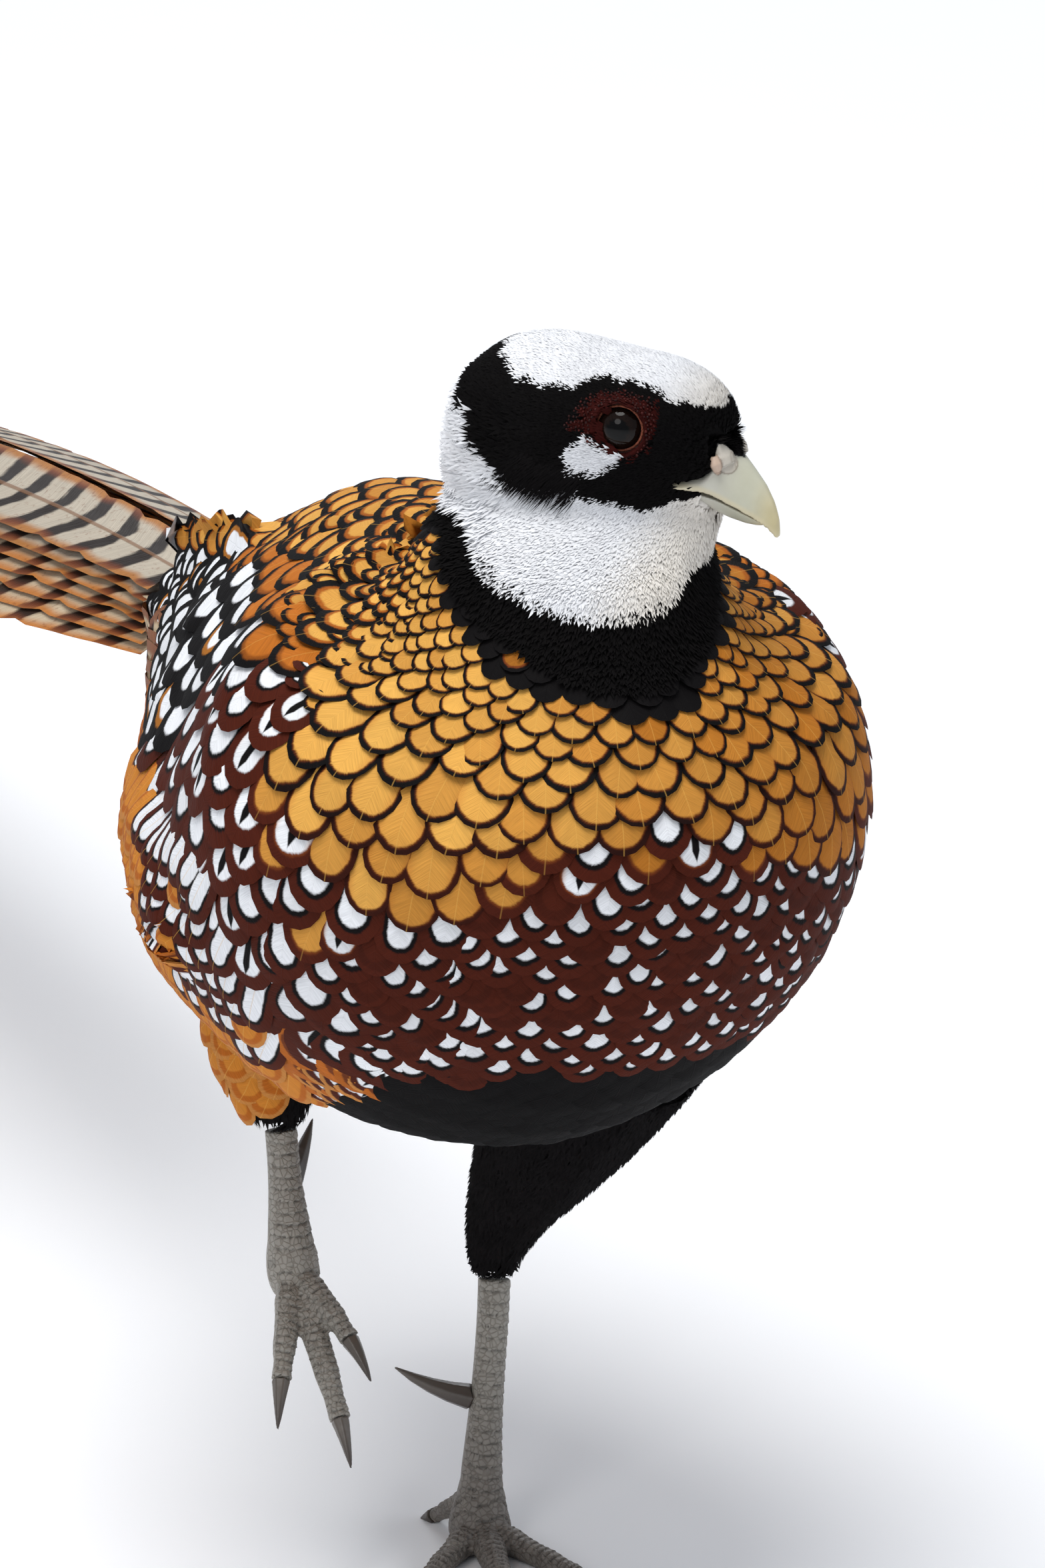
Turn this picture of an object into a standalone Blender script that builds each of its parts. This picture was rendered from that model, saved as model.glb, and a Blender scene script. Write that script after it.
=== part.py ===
"""An adult male Reeves's pheasant, life size, stepping forward with its right foot lifted.

The bird faces -Y, its right side is -X, and +Z is up. The origin is the sole of the left
foot, which stands. Sizes below are millimetres, and MM turns them into metres.
"""
import math

import bmesh
import bpy
import numpy as np
from mathutils import Vector
from mathutils.bvhtree import BVHTree

MM = 0.001
GAP = 0.3

# Middle plane of the body, a little to the right of the standing foot
MID_X = -12.0

# Rings of the body from the tail root forward and up to the top of the neck:
# x, y, z of the centre, lean of the ring from facing forward to facing up, half width,
# reach to the back and nape, reach to the belly and breast, and how full the back and the
# belly are, where 2 is an ellipse
BODY_RINGS = (
    (-12, 150, 217, -8, 24, 16, 16, 2.0, 2.0),
    (-12, 122, 214, -7, 30, 32, 24, 1.95, 2.1),
    (-12, 82, 200, -5, 46, 66, 33, 1.8, 2.3),
    (-12, 38, 187, -1, 68, 98, 41, 1.72, 2.4),
    (-12, -8, 198, 3, 79, 96, 61, 1.8, 2.1),
    (-12, -48, 213, 14, 87, 85, 77, 2.05, 1.9),
    (-12, -76, 236, 38, 87, 76, 76, 2.3, 1.88),
    (-11, -88, 266, 64, 74, 62, 67, 2.4, 1.88),
    (-10, -83, 280, 78, 53, 47, 57, 2.4, 1.9),
    (-9, -80, 292, 84, 41, 40, 43, 2.3, 1.95),
    (-8, -79, 303, 87, 36, 36, 37, 2.2, 2.0),
)
NECK_START = 8.2
BODY_SIDES = 36
TORSO_STEPS = 27
NECK_STEPS = 5

# The head turns to the bird's left and its bill dips a little
HEAD_CENTRE = (-5.0, -75.5, 331.5)
HEAD_TURN = 43.0
HEAD_DIP = 10.0
NECK_TOP_Z = 315.0
# Along the head from the nape to the bill: place, top, bottom, half width
HEAD_RINGS = (
    (-28, 8, -14, 10),
    (-25.5, 13, -21, 16),
    (-20, 18, -28, 20.5),
    (-11, 21.5, -32, 23),
    (0, 23, -33, 23),
    (12, 24, -29, 21),
    (22, 25, -22.5, 18.4),
    (31, 24, -18, 15),
    (38, 20.5, -14.5, 11),
    (42, 15, -12, 8.2),
)
HEAD_ROUND = 2.4
HEAD_SIDES = 24
HEAD_STEPS = 16

EYE_ALONG = 18.0
EYE_UP = 10.5
EYE_RADIUS = 7.4
EYE_OUT = 19.4
EYE_OPENING = 5.7
LID_THICK = 1.1

# Bill in the head's frame: place along, height and half width of the ridge, the line
# where the halves meet, and the underside
CULMEN = (
    (42.3, 12.5, 6.6), (47, 10.6, 6.4), (51.5, 5.8, 5.4), (55.5, -0.8, 4.0),
    (58.2, -7.0, 2.4), (59.2, -12.0, 0.7),
)
MOUTH = ((42.3, -2.6), (47, -4.4), (51.5, -6.2), (55.5, -8.4), (58.2, -10.8), (59.0, -12.6))
MANDIBLE = (
    (42.3, -10.8, 5.9), (47, -11.4, 5.0), (51, -11.6, 3.9), (54.4, -11.6, 2.6),
)
# How far along the rows of the mouth's line the lower half of the bill reaches
MANDIBLE_REACH = 3.2
BILL_SIDES = 14
BILL_STEPS = 9
# The line of the mouth runs on over the face, back to the gape: along, half width, height, size
GAPE = ((41.0, 9.0, -2.8, 0.9), (38.0, 11.0, -2.7, 1.0), (34.5, 13.1, -3.0, 0.9),
        (31.0, 15.2, -4.2, 0.5))
# Nostril slit on each side of the bill, and the flap that arches over it
NOSTRIL = ((43.6, 6.6, 3.4, 0.8), (45.4, 6.5, 3.6, 1.0), (47.2, 6.2, 2.9, 0.7))
NOSTRIL_FLAP = ((42.9, 5.6, 5.6, 1.3), (45.2, 5.7, 5.9, 1.6), (47.6, 5.5, 4.6, 1.0))

# The standing leg, each row x, y, z and radius
LEFT_THIGH = (
    (9.2, 12.5, 69.0, 5.6), (9.8, 13.0, 77.0, 8.2), (12, 6, 93, 12.5), (15, -6, 111, 18),
    (18, -18, 130, 24), (22, -30, 152, 30),
)
LEFT_TARSUS = (
    (9.0, 12.2, 68.4, 4.3), (7.5, 10, 56, 4.2), (5.2, 7.5, 40, 4.3), (3.0, 5.0, 26, 4.9),
    (1.4, 2.6, 16, 5.7),
)
# The lifted leg
RIGHT_THIGH = (
    (-42.6, 33.0, 111.0, 5.8), (-43, 34, 119, 10), (-43, 35, 133, 17), (-40, 35, 158, 23),
)
RIGHT_TARSUS = (
    (-42.7, 32.6, 110.4, 4.3), (-42.8, 30.5, 101, 4.3), (-42.9, 28, 91, 5.0),
    (-43.0, 25.6, 82, 6.2),
)
TUBE_SIDES = 12

# Toes: heading from straight ahead toward the bird's left, length without the claw,
# and radius at the root; the left foot is flat on the ground
LEFT_TOES = {
    "outer": (20.0, 38.0, 4.3),
    "middle": (-12.0, 51.0, 4.7),
    "inner": (-46.0, 34.0, 4.4),
    "hind": (-158.0, 17.0, 3.4),
}
# The lifted toes hang: the end of each toe from the foot's centre, and radius at the root
RIGHT_TOES = {
    "outer": (-13.0, -25.0, -18.5, 4.3),
    "middle": (-1.0, -36.0, -27.0, 4.7),
    "inner": (6.0, -25.0, -10.0, 4.4),
    "hind": (8.0, 11.0, -11.0, 3.2),
}
LEFT_FOOT_CENTRE = (0.0, 0.0, 9.0)
RIGHT_FOOT_CENTRE = (-43.0, 23.5, 73.5)
TOE_ROWS = 8
CLAW_LENGTH = 11.0
CLAW_RADIUS = 2.3
SPUR_LENGTH = 24.0
SPUR_RADIUS = 3.9

# Wing seen from the side: y and z of the wrist and the elbow, and how full its flesh is
WRIST = (-50.0, 192.0)
ELBOW = (48.0, 258.0)
WING_CORE = 2.4
# The wing's flesh covers these stations of the body and these points of its rings
WING_SPAN = (0.9, 5.2)
WING_TURN = (3, 9)
# Tiers from under to upper: how many, root shift back from the wrist-elbow line, length low
# and high, slope low and high, half width, lift off the body, first and last place on the line
WING_TIERS = (
    (3, 40.0, 112.0, 104.0, 6.0, 0.0, 8.0, 2.4, 0.04, 0.42),
    (7, 6.0, 124.0, 84.0, 5.0, -12.0, 8.0, 4.4, 0.04, 1.0),
    (6, -8.0, 56.0, 46.0, -6.0, -26.0, 8.0, 6.4, 0.04, 0.96),
)
VANE_THICK = 1.0
# How much each wing feather's lower edge stands over the next one, for each mm across
SHINGLE = 0.15

# Tail: level run of the root, total run, and the height of the root
TAIL_START_Y = 150.0
TAIL_RUN = 1270.0
TAIL_ROOT_Z = 217.0
TAIL_SLOPE = 0.07
# Share of the run at which the middle feathers reach the ground and lie flat
TAIL_TOUCH = 0.93
# Pairs of tail feathers from the middle pair outward and under: share of the run, half width
TAIL_PAIRS = (
    (1.0, 20.0), (0.84, 20.0), (0.67, 19.0), (0.52, 18.0), (0.40, 17.0),
    (0.31, 16.0), (0.24, 15.0),
)
TAIL_THICK = 1.2
# Each pair lies this far under the one before, and rolls this much more, in degrees
TAIL_STEP = 2.9
TAIL_ROLL = 3.0


def material(name, colour, roughness):
    """A plain painted-looking material of one colour."""
    made = bpy.data.materials.new(name)
    made.use_nodes = True
    shader = made.node_tree.nodes["Principled BSDF"]
    shader.inputs["Base Color"].default_value = (*colour, 1.0)
    shader.inputs["Roughness"].default_value = roughness
    shader.inputs["Metallic"].default_value = 0.0
    return made


def solid(name, points, faces, look=None):
    """An object from points in millimetres, its faces turned outward."""
    mesh = bpy.data.meshes.new(name)
    mesh.from_pydata([tuple(float(c) * MM for c in p) for p in points], [], faces)
    work = bmesh.new()
    work.from_mesh(mesh)
    bmesh.ops.triangulate(work, faces=work.faces, quad_method="FIXED")
    bmesh.ops.recalc_face_normals(work, faces=work.faces)
    if work.calc_volume(signed=True) < 0:
        bmesh.ops.reverse_faces(work, faces=work.faces)
    work.to_mesh(mesh)
    work.free()
    made = bpy.data.objects.new(name, mesh)
    bpy.context.scene.collection.objects.link(made)
    if look is not None:
        mesh.materials.append(look)
    return made


def loft(name, rings, look=None):
    """A closed solid through rings of points, with a flat cap on each end."""
    count = len(rings[0])
    points = [p for ring in rings for p in ring]
    faces = []
    for row in range(len(rings) - 1):
        for i in range(count):
            j = (i + 1) % count
            a = row * count
            faces.append((a + i, a + j, a + count + j, a + count + i))
    faces.append(tuple(range(count))[::-1])
    last = (len(rings) - 1) * count
    faces.append(tuple(last + i for i in range(count)))
    return solid(name, points, faces, look)


def smooth_row(rows, t):
    """A row of numbers read from the table at t, on a smooth curve through its rows."""
    table = np.asarray(rows, float)
    last = len(table) - 1
    t = min(max(t, 0.0), float(last))
    i = min(int(t), last - 1)
    f = t - i
    a = table[i]
    b = table[i + 1]
    before = table[i - 1] if i > 0 else 2 * a - b
    after = table[i + 2] if i + 2 <= last else 2 * b - a
    slope_a = (b - before) / 2
    slope_b = (after - a) / 2
    return (
        a * (2 * f**3 - 3 * f**2 + 1) + slope_a * (f**3 - 2 * f**2 + f)
        + b * (3 * f**2 - 2 * f**3) + slope_b * (f**3 - f**2)
    )


def rounded(value, power):
    """A cosine or sine pulled outward, for a section fuller than an ellipse."""
    return math.copysign(abs(value) ** (2.0 / power), value)


def body_ring(t, grow=0.0):
    """One ring of the body at station t: from the back's ridge round by the left side."""
    x, y, z, lean, half, up, down, back_round, belly_round = smooth_row(BODY_RINGS, t)
    lean = math.radians(lean)
    dorsal = np.array([0.0, math.sin(lean), math.cos(lean)])
    side = np.array([1.0, 0.0, 0.0])
    centre = np.array([x, y, z])
    ring = []
    for i in range(BODY_SIDES):
        turn = 2 * math.pi * i / BODY_SIDES
        above = math.cos(turn) > 0
        power = back_round if above else belly_round
        c = rounded(math.cos(turn), power)
        s = rounded(math.sin(turn), power)
        reach = up if above else down
        ring.append(centre + dorsal * c * (reach + grow) + side * s * (half + grow))
    return ring


def ring_facing(t):
    """The way that the ring at station t faces, toward the head."""
    lean = math.radians(smooth_row(BODY_RINGS, t)[3])
    return np.array([0.0, -math.cos(lean), math.sin(lean)])


def stations(first, last, steps):
    return [first + (last - first) * i / steps for i in range(steps + 1)]


def head_axes():
    """Forward, left and up of the head."""
    turn = math.radians(HEAD_TURN)
    dip = math.radians(HEAD_DIP)
    level = np.array([math.sin(turn), -math.cos(turn), 0.0])
    left = np.array([math.cos(turn), math.sin(turn), 0.0])
    forward = level * math.cos(dip) - np.array([0.0, 0.0, math.sin(dip)])
    up = np.cross(forward, left)
    return forward, left, up


def head_point(along, left, up):
    f, s, u = head_axes()
    return np.asarray(HEAD_CENTRE) + f * along + s * left + u * up


def apply_boolean(base, operation, others, solver="EXACT"):
    """One Boolean of base with a collection of closed objects, applied; they are removed."""
    group = bpy.data.collections.new(base.name + "_group")
    bpy.context.scene.collection.children.link(group)
    for other in others:
        for owner in list(other.users_collection):
            owner.objects.unlink(other)
        group.objects.link(other)
    modifier = base.modifiers.new("join", "BOOLEAN")
    modifier.operation = operation
    modifier.operand_type = "COLLECTION"
    modifier.collection = group
    modifier.solver = solver
    graph = bpy.context.evaluated_depsgraph_get()
    graph.update()
    made = bpy.data.meshes.new_from_object(base.evaluated_get(graph))
    base.modifiers.clear()
    base.data = made
    for other in others:
        bpy.data.objects.remove(other)
    bpy.data.collections.remove(group)
    keep_largest(base)
    return base


def keep_largest(thing):
    """Keeps the closed surface of the largest volume, and triangulates it."""
    work = bmesh.new()
    work.from_mesh(thing.data)
    bmesh.ops.triangulate(work, faces=work.faces)
    unseen = set(work.faces)
    islands = []
    while unseen:
        seed = unseen.pop()
        island = [seed]
        queue = [seed]
        while queue:
            face = queue.pop()
            for edge in face.edges:
                for near in edge.link_faces:
                    if near in unseen:
                        unseen.remove(near)
                        island.append(near)
                        queue.append(near)
        volume = sum(
            f.verts[0].co.dot(f.verts[1].co.cross(f.verts[2].co)) / 6 for f in island)
        islands.append((volume, island))
    best = max(islands, key=lambda pair: pair[0])[1]
    bmesh.ops.delete(work, geom=list(set(work.faces) - set(best)), context="FACES")
    loose = [v for v in work.verts if not v.link_faces]
    bmesh.ops.delete(work, geom=loose, context="VERTS")
    work.to_mesh(thing.data)
    work.free()


def grown_torso(name, grow):
    """The torso's shape made larger by grow, as a cutter for what lies on it."""
    rings = [body_ring(t, grow) for t in stations(0.0, NECK_START, TORSO_STEPS)]
    face = ring_facing(NECK_START)
    rings[-1] = [p + face * grow for p in rings[-1]]
    rings[0] = [p - ring_facing(0.0) * grow for p in rings[0]]
    return loft(name, rings)


def build_torso(look):
    rings = [body_ring(t) for t in stations(0.0, NECK_START, TORSO_STEPS)]
    return loft("torso", rings, look)


def build_head(look):
    """The head with its lids, cut level where it meets the neck."""
    forward, left, up = head_axes()
    rings = []
    last = len(HEAD_RINGS) - 1
    for t in stations(0.0, last, HEAD_STEPS):
        along, top, bottom, half = smooth_row(HEAD_RINGS, t)
        middle = (top + bottom) / 2
        height = (top - bottom) / 2
        ring = []
        for i in range(HEAD_SIDES):
            turn = 2 * math.pi * i / HEAD_SIDES
            c = rounded(math.cos(turn), HEAD_ROUND)
            s = rounded(math.sin(turn), HEAD_ROUND)
            ring.append(head_point(along, half * s, middle + height * c))
        rings.append(ring)
    head = loft("head", rings, look)
    work = bmesh.new()
    work.from_mesh(head.data)
    cut = bmesh.ops.bisect_plane(
        work, geom=list(work.verts) + list(work.edges) + list(work.faces),
        plane_co=(0, 0, (NECK_TOP_Z + GAP) * MM), plane_no=(0, 0, 1), clear_inner=True)
    edges = [e for e in cut["geom_cut"] if isinstance(e, bmesh.types.BMEdge)]
    bmesh.ops.contextual_create(work, geom=edges)
    bmesh.ops.triangulate(work, faces=work.faces)
    bmesh.ops.recalc_face_normals(work, faces=work.faces)
    work.to_mesh(head.data)
    work.free()
    return head


def ball(name, centre, radius, segments, rings):
    work = bmesh.new()
    bmesh.ops.create_uvsphere(work, u_segments=segments, v_segments=rings, radius=radius * MM)
    bmesh.ops.translate(work, verts=work.verts, vec=Vector(centre) * MM)
    mesh = bpy.data.meshes.new(name)
    work.to_mesh(mesh)
    work.free()
    made = bpy.data.objects.new(name, mesh)
    bpy.context.scene.collection.objects.link(made)
    return made


def lid_ring(name, centre, outward, opening):
    """A rounded ring round the eye's opening."""
    outward = outward / np.linalg.norm(outward)
    across = np.cross(outward, [0.0, 0.0, 1.0])
    across /= np.linalg.norm(across)
    down = np.cross(outward, across)
    segments = 14
    sides = 5
    points = []
    faces = []
    for i in range(segments):
        turn = 2 * math.pi * i / segments
        radial = across * math.cos(turn) + down * math.sin(turn)
        for j in range(sides):
            roll = 2 * math.pi * j / sides
            reach = opening + LID_THICK + LID_THICK * math.cos(roll)
            points.append(centre + radial * reach + outward * LID_THICK * 0.9 * math.sin(roll))
    for i in range(segments):
        n = (i + 1) % segments
        for j in range(sides):
            k = (j + 1) % sides
            faces.append((i * sides + j, n * sides + j, n * sides + k, i * sides + k))
    return solid(name, points, faces)


def build_eyes(head, look):
    """Both eyeballs in sockets of the head, each with a lid round its opening."""
    forward, left, up = head_axes()
    sockets = []
    lids = []
    bores = []
    for name, side in (("eye_left", 1.0), ("eye_right", -1.0)):
        centre = head_point(EYE_ALONG, side * (EYE_OUT - EYE_RADIUS), EYE_UP)
        eye = ball(name, centre, EYE_RADIUS, 16, 9)
        eye.data.materials.append(look)
        sockets.append(ball(name + "_socket", centre, EYE_RADIUS + 2 * GAP, 12, 7))
        outward = left * side + forward * 0.16 + up * 0.1
        outward /= np.linalg.norm(outward)
        rim = centre + outward * (EYE_RADIUS - 0.6)
        lids.append(lid_ring(name + "_lid", rim, outward, EYE_OPENING))
        start = centre + outward * (EYE_RADIUS - 3.0)
        end = centre + outward * (EYE_RADIUS + 4.0)
        bores.append(tube(name + "_bore", ((*start, EYE_OPENING), (*end, EYE_OPENING)), None, 1,
                          None, 12))
    apply_boolean(head, "UNION", lids)
    apply_boolean(head, "DIFFERENCE", sockets + bores + head_tubes("mouth", GAPE))
    return head


def build_neck(head, look):
    """From the torso's last ring up to the level cut under the head, whose outline it takes."""
    tree = BVHTree.FromObject(head, bpy.context.evaluated_depsgraph_get())
    rings = [body_ring(t) for t in stations(NECK_START, len(BODY_RINGS) - 1, NECK_STEPS)]
    rings[0] = [p + ring_facing(NECK_START) * GAP for p in rings[0]]
    centre = np.array([HEAD_CENTRE[0] - 3.0, HEAD_CENTRE[1] + 2.0, NECK_TOP_Z])
    top = []
    for i in range(BODY_SIDES):
        turn = 2 * math.pi * i / BODY_SIDES
        way = np.array([math.sin(turn), math.cos(turn), 0.0])
        start = centre + way * 90.0 + np.array([0, 0, 2 * GAP])
        hit = tree.ray_cast(Vector(start * MM), Vector(-way))[0]
        reach = np.array(hit) / MM
        top.append(np.array([reach[0], reach[1], NECK_TOP_Z]))
    last = np.array(rings[-1])
    upper = np.array(top)
    blend = last * 0.45 + upper * 0.55
    blend[:, 2] = (last[:, 2] + NECK_TOP_Z) / 2
    rings.append(list(blend))
    rings.append(top)
    return loft("neck", rings, look)


def bill_rings(top, bottom, sharp):
    """Sections of half a bill, from the outline above and below, in the head's frame."""
    rings = []
    for (along, upper, half), (along_low, lower) in zip(top, bottom):
        ring = []
        for i in range(BILL_SIDES):
            turn = 2 * math.pi * i / BILL_SIDES
            c = math.cos(turn)
            s = math.sin(turn)
            mid_along = (along + along_low) / 2
            height = (upper - lower) / 2
            middle = (upper + lower) / 2
            place = mid_along + (along - along_low) / 2 * c
            wide = half * rounded(s, sharp) * (1.0 - 0.18 * c)
            ring.append(head_point(place, wide, middle + height * rounded(c, 2.2)))
        rings.append(ring)
    return rings


def head_tubes(name, rows):
    """A small tube on each side of the head, through rows of along, side, up and radius."""
    made = []
    for side in (1.0, -1.0):
        places = [(*head_point(along, side * out, up), size) for along, out, up, size in rows]
        made.append(tube(f"{name}_{side:.0f}", places, None, 1, None, 6))
    return made


def build_bill(look):
    """The two halves of the bill, parted along the line of the mouth."""
    upper = [smooth_row(CULMEN, t) for t in stations(0, len(CULMEN) - 1, BILL_STEPS)]
    mouth = [smooth_row(MOUTH, t) for t in stations(0, len(MOUTH) - 1, BILL_STEPS)]
    beak = loft("bill_upper", bill_rings(upper, mouth, 2.4), look)
    apply_boolean(beak, "UNION", head_tubes("flap", NOSTRIL_FLAP))
    apply_boolean(beak, "DIFFERENCE", head_tubes("nostril", NOSTRIL))
    lower = [smooth_row(MANDIBLE, t) for t in stations(0, len(MANDIBLE) - 1, BILL_STEPS)]
    low_mouth = [smooth_row(MOUTH, t) for t in stations(0, MANDIBLE_REACH, BILL_STEPS)]
    top = [(m[0], m[1] - GAP, low[2]) for m, low in zip(low_mouth, lower)]
    bottom = [(low[0], low[1]) for low in lower]
    loft("bill_lower", bill_rings(top, bottom, 2.4), look)


def tube(name, rows, look=None, steps=3, floor=None, sides=TUBE_SIDES):
    """A solid tube through rows of x, y, z and radius."""
    places = [smooth_row(rows, t) for t in stations(0, len(rows) - 1, steps * (len(rows) - 1))]
    rings = []
    across = None
    for i, row in enumerate(places):
        before = places[max(i - 1, 0)][:3]
        after = places[min(i + 1, len(places) - 1)][:3]
        way = (after - before) / np.linalg.norm(after - before)
        if across is None:
            across = np.cross(way, [0.0, 1.0, 0.0])
            if np.linalg.norm(across) < 0.3:
                across = np.cross(way, [0.0, 0.0, 1.0])
        across = across - way * across.dot(way)
        across /= np.linalg.norm(across)
        other = np.cross(way, across)
        ring = []
        for k in range(sides):
            turn = 2 * math.pi * k / sides
            p = row[:3] + (across * math.cos(turn) + other * math.sin(turn)) * row[3]
            if floor is not None:
                p[2] = max(p[2], floor)
            ring.append(p)
        rings.append(ring)
    return loft(name, rings, look)


def cut_by_torso(thing):
    return apply_boolean(thing, "DIFFERENCE", [grown_torso("torso_cutter", GAP)])


def build_legs(black, skin, horn):
    cut_by_torso(tube("thigh_left", LEFT_THIGH, black))
    cut_by_torso(tube("thigh_right", RIGHT_THIGH, black))
    tube("tarsus_left", LEFT_TARSUS, skin)
    tube("tarsus_right", RIGHT_TARSUS, skin)
    build_left_foot(skin, horn)
    build_right_foot(skin, horn)
    build_spurs(horn)


def toe_rows(start, end, radius, sag):
    """A toe from start to end, fuller at its joints, thinner at its tip."""
    rows = []
    start = np.asarray(start, float)
    end = np.asarray(end, float)
    for i in range(TOE_ROWS):
        f = i / (TOE_ROWS - 1)
        swell = 1.0 + 0.09 * math.cos(f * 6 * math.pi)
        size = radius * (1.0 - 0.42 * f) * swell
        place = start * (1 - f) + end * f + np.array([0, 0, sag * math.sin(math.pi * f)])
        rows.append((*place, size))
    return rows


def claw(name, base, way, droop, look, radius=CLAW_RADIUS, length=CLAW_LENGTH, floor=None):
    """A curved, pointed claw that leaves base along way and bends by droop."""
    way = np.asarray(way, float) / np.linalg.norm(way)
    droop = np.asarray(droop, float)
    rows = []
    for i in range(6):
        f = i / 5
        place = base + way * length * f + droop * f * f
        rows.append((*place, radius * (1 - f) ** 0.8 + 0.25))
    return tube(name, rows, look, 1, floor, 7)


def build_left_foot(skin, horn):
    """The standing foot: toes flat on the ground, fused at a pad under the tarsus."""
    centre = np.array(LEFT_FOOT_CENTRE)
    pad = tube("foot_left", (
        (1.3, 2.5, 15.6, 5.7), (0.8, 1.6, 11.5, 6.6), (0, 0.2, 6.5, 8.0), (0, 0, 4.5, 8.4),
        (0, 0, 2.5, 8.4), (0, 0, 0, 7.6)), skin, 1, 0.0)
    toes = []
    for name, (heading, length, radius) in LEFT_TOES.items():
        turn = math.radians(heading)
        way = np.array([math.sin(turn), -math.cos(turn), 0.0])
        rise = 15.0 if name == "hind" else centre[2]
        end_radius = radius * 0.58
        start = np.array([0.0, 0.0, 0.0]) + way * 2.0
        start[2] = rise - 3.0
        end = way * length
        end[2] = end_radius * 0.8
        rows = toe_rows(start, end, radius, 0.0)
        rows = [
            (x, y, z if name == "hind" else max(r * 0.86, z - 5.5 * math.sin(math.pi * min(
                1.0, i / (TOE_ROWS - 1) + 0.25))), r)
            for i, (x, y, z, r) in enumerate(rows)]
        toes.append(tube("toe_" + name, rows, None, 1, 0.0, 8))
        way = np.array(rows[-1][:3]) - np.array(rows[-2][:3])
        way /= np.linalg.norm(way)
        tip = np.array(rows[-1][:3]) + way * GAP
        claw("claw_left_" + name, tip, way, (0, 0, -end_radius * 0.6), horn, floor=0.0)
    apply_boolean(pad, "UNION", toes)


def build_right_foot(skin, horn):
    """The lifted foot, its toes hanging forward and down."""
    centre = np.array(RIGHT_FOOT_CENTRE)
    pad = tube("foot_right", (
        (-43.0, 25.4, 81.6, 6.2), (-43.0, 24.6, 78.0, 6.8), (-43.0, 23.4, 73.5, 7.0),
        (-43.0, 21.8, 69.5, 6.0), (-43.0, 20.6, 66.5, 3.4)), skin, 2)
    toes = []
    for name, (dx, dy, dz, radius) in RIGHT_TOES.items():
        reach = np.array([dx, dy, dz])
        way = reach / np.linalg.norm(reach)
        rows = toe_rows(centre + way * 1.5, centre + reach, radius, 1.5)
        toes.append(tube("toe_" + name, rows, None, 1, None, 8))
        way = np.array(rows[-1][:3]) - np.array(rows[-2][:3])
        way /= np.linalg.norm(way)
        tip = np.array(rows[-1][:3]) + way * GAP
        claw("claw_right_" + name, tip, way, (0, 0, -3.0), horn)
    apply_boolean(pad, "UNION", toes)


def build_spurs(horn):
    """A long curved spur on the inner back of each shank, cut to fit against it."""
    for name, root, way, shank in (
            ("spur_left", (4.6, 7.6, 36.5), (-0.93, 0.34, 0.12), LEFT_TARSUS),
            ("spur_right", (-42.8, 29.0, 95.0), (0.62, 0.78, 0.18), RIGHT_TARSUS)):
        spur = claw(name, np.array(root), way, (0, 0, 6.5), horn, SPUR_RADIUS, SPUR_LENGTH)
        grown = [(x, y, z, radius + GAP) for x, y, z, radius in shank]
        apply_boolean(spur, "DIFFERENCE", [tube("shank_cutter", grown)])


def vane(name, places, sides, normals, halves, thick, columns):
    """A thin closed blade: the same columns of points and triangles on either face."""
    rows = len(places)
    stride = 2 * columns
    points = []
    for i in range(rows):
        for face in (1.0, -1.0):
            for k in range(columns):
                across = 2.0 * k / (columns - 1) - 1.0
                body = thick[i] * (0.5 - 0.18 * abs(across))
                points.append(
                    places[i] + sides[i] * across * halves[i] + normals[i] * face * body)
    faces = []
    for i in range(rows - 1):
        a = i * stride
        b = a + stride
        for k in range(columns - 1):
            c = columns + k
            faces.append((a + k, a + k + 1, b + k + 1))
            faces.append((a + k, b + k + 1, b + k))
            faces.append((a + c, b + c + 1, a + c + 1))
            faces.append((a + c, b + c, b + c + 1))
        for top, low in ((0, columns), (columns - 1, stride - 1)):
            faces.append((a + top, b + top, b + low))
            faces.append((a + top, b + low, a + low))
    for a in (0, (rows - 1) * stride):
        for k in range(columns - 1):
            faces.append((a + k, a + k + 1, a + columns + k + 1, a + columns + k))
    return solid(name, points, faces)


def leaf(f, tip_round=0.5):
    """How wide a feather is at part f of its length, from 0 at the root to 1 at the tip."""
    return min(1.0, 0.45 + 2.2 * f) * max(0.0, 1.0 - f ** 5) ** tip_round


class Flank:
    """The side of the body as a height field: how far out it lies at a height and length."""

    def __init__(self, torso):
        self.tree = BVHTree.FromObject(torso, bpy.context.evaluated_depsgraph_get())

    def out(self, y, z):
        """Distance from the middle plane, kept open past the rump."""
        hit = self.tree.ray_cast(
            Vector(((MID_X + 300) * MM, y * MM, z * MM)), Vector((-1, 0, 0)))[0]
        found = hit[0] / MM - MID_X if hit is not None else 0.0
        behind = max(0.0, y - 40.0)
        return max(found, 52.0 - 0.4 * behind - 0.012 * max(0.0, z - 215.0) ** 2, 20.0)

    def place(self, side, y, z, lift):
        return np.array([MID_X + side * (self.out(y, z) + lift), y, z])


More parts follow.
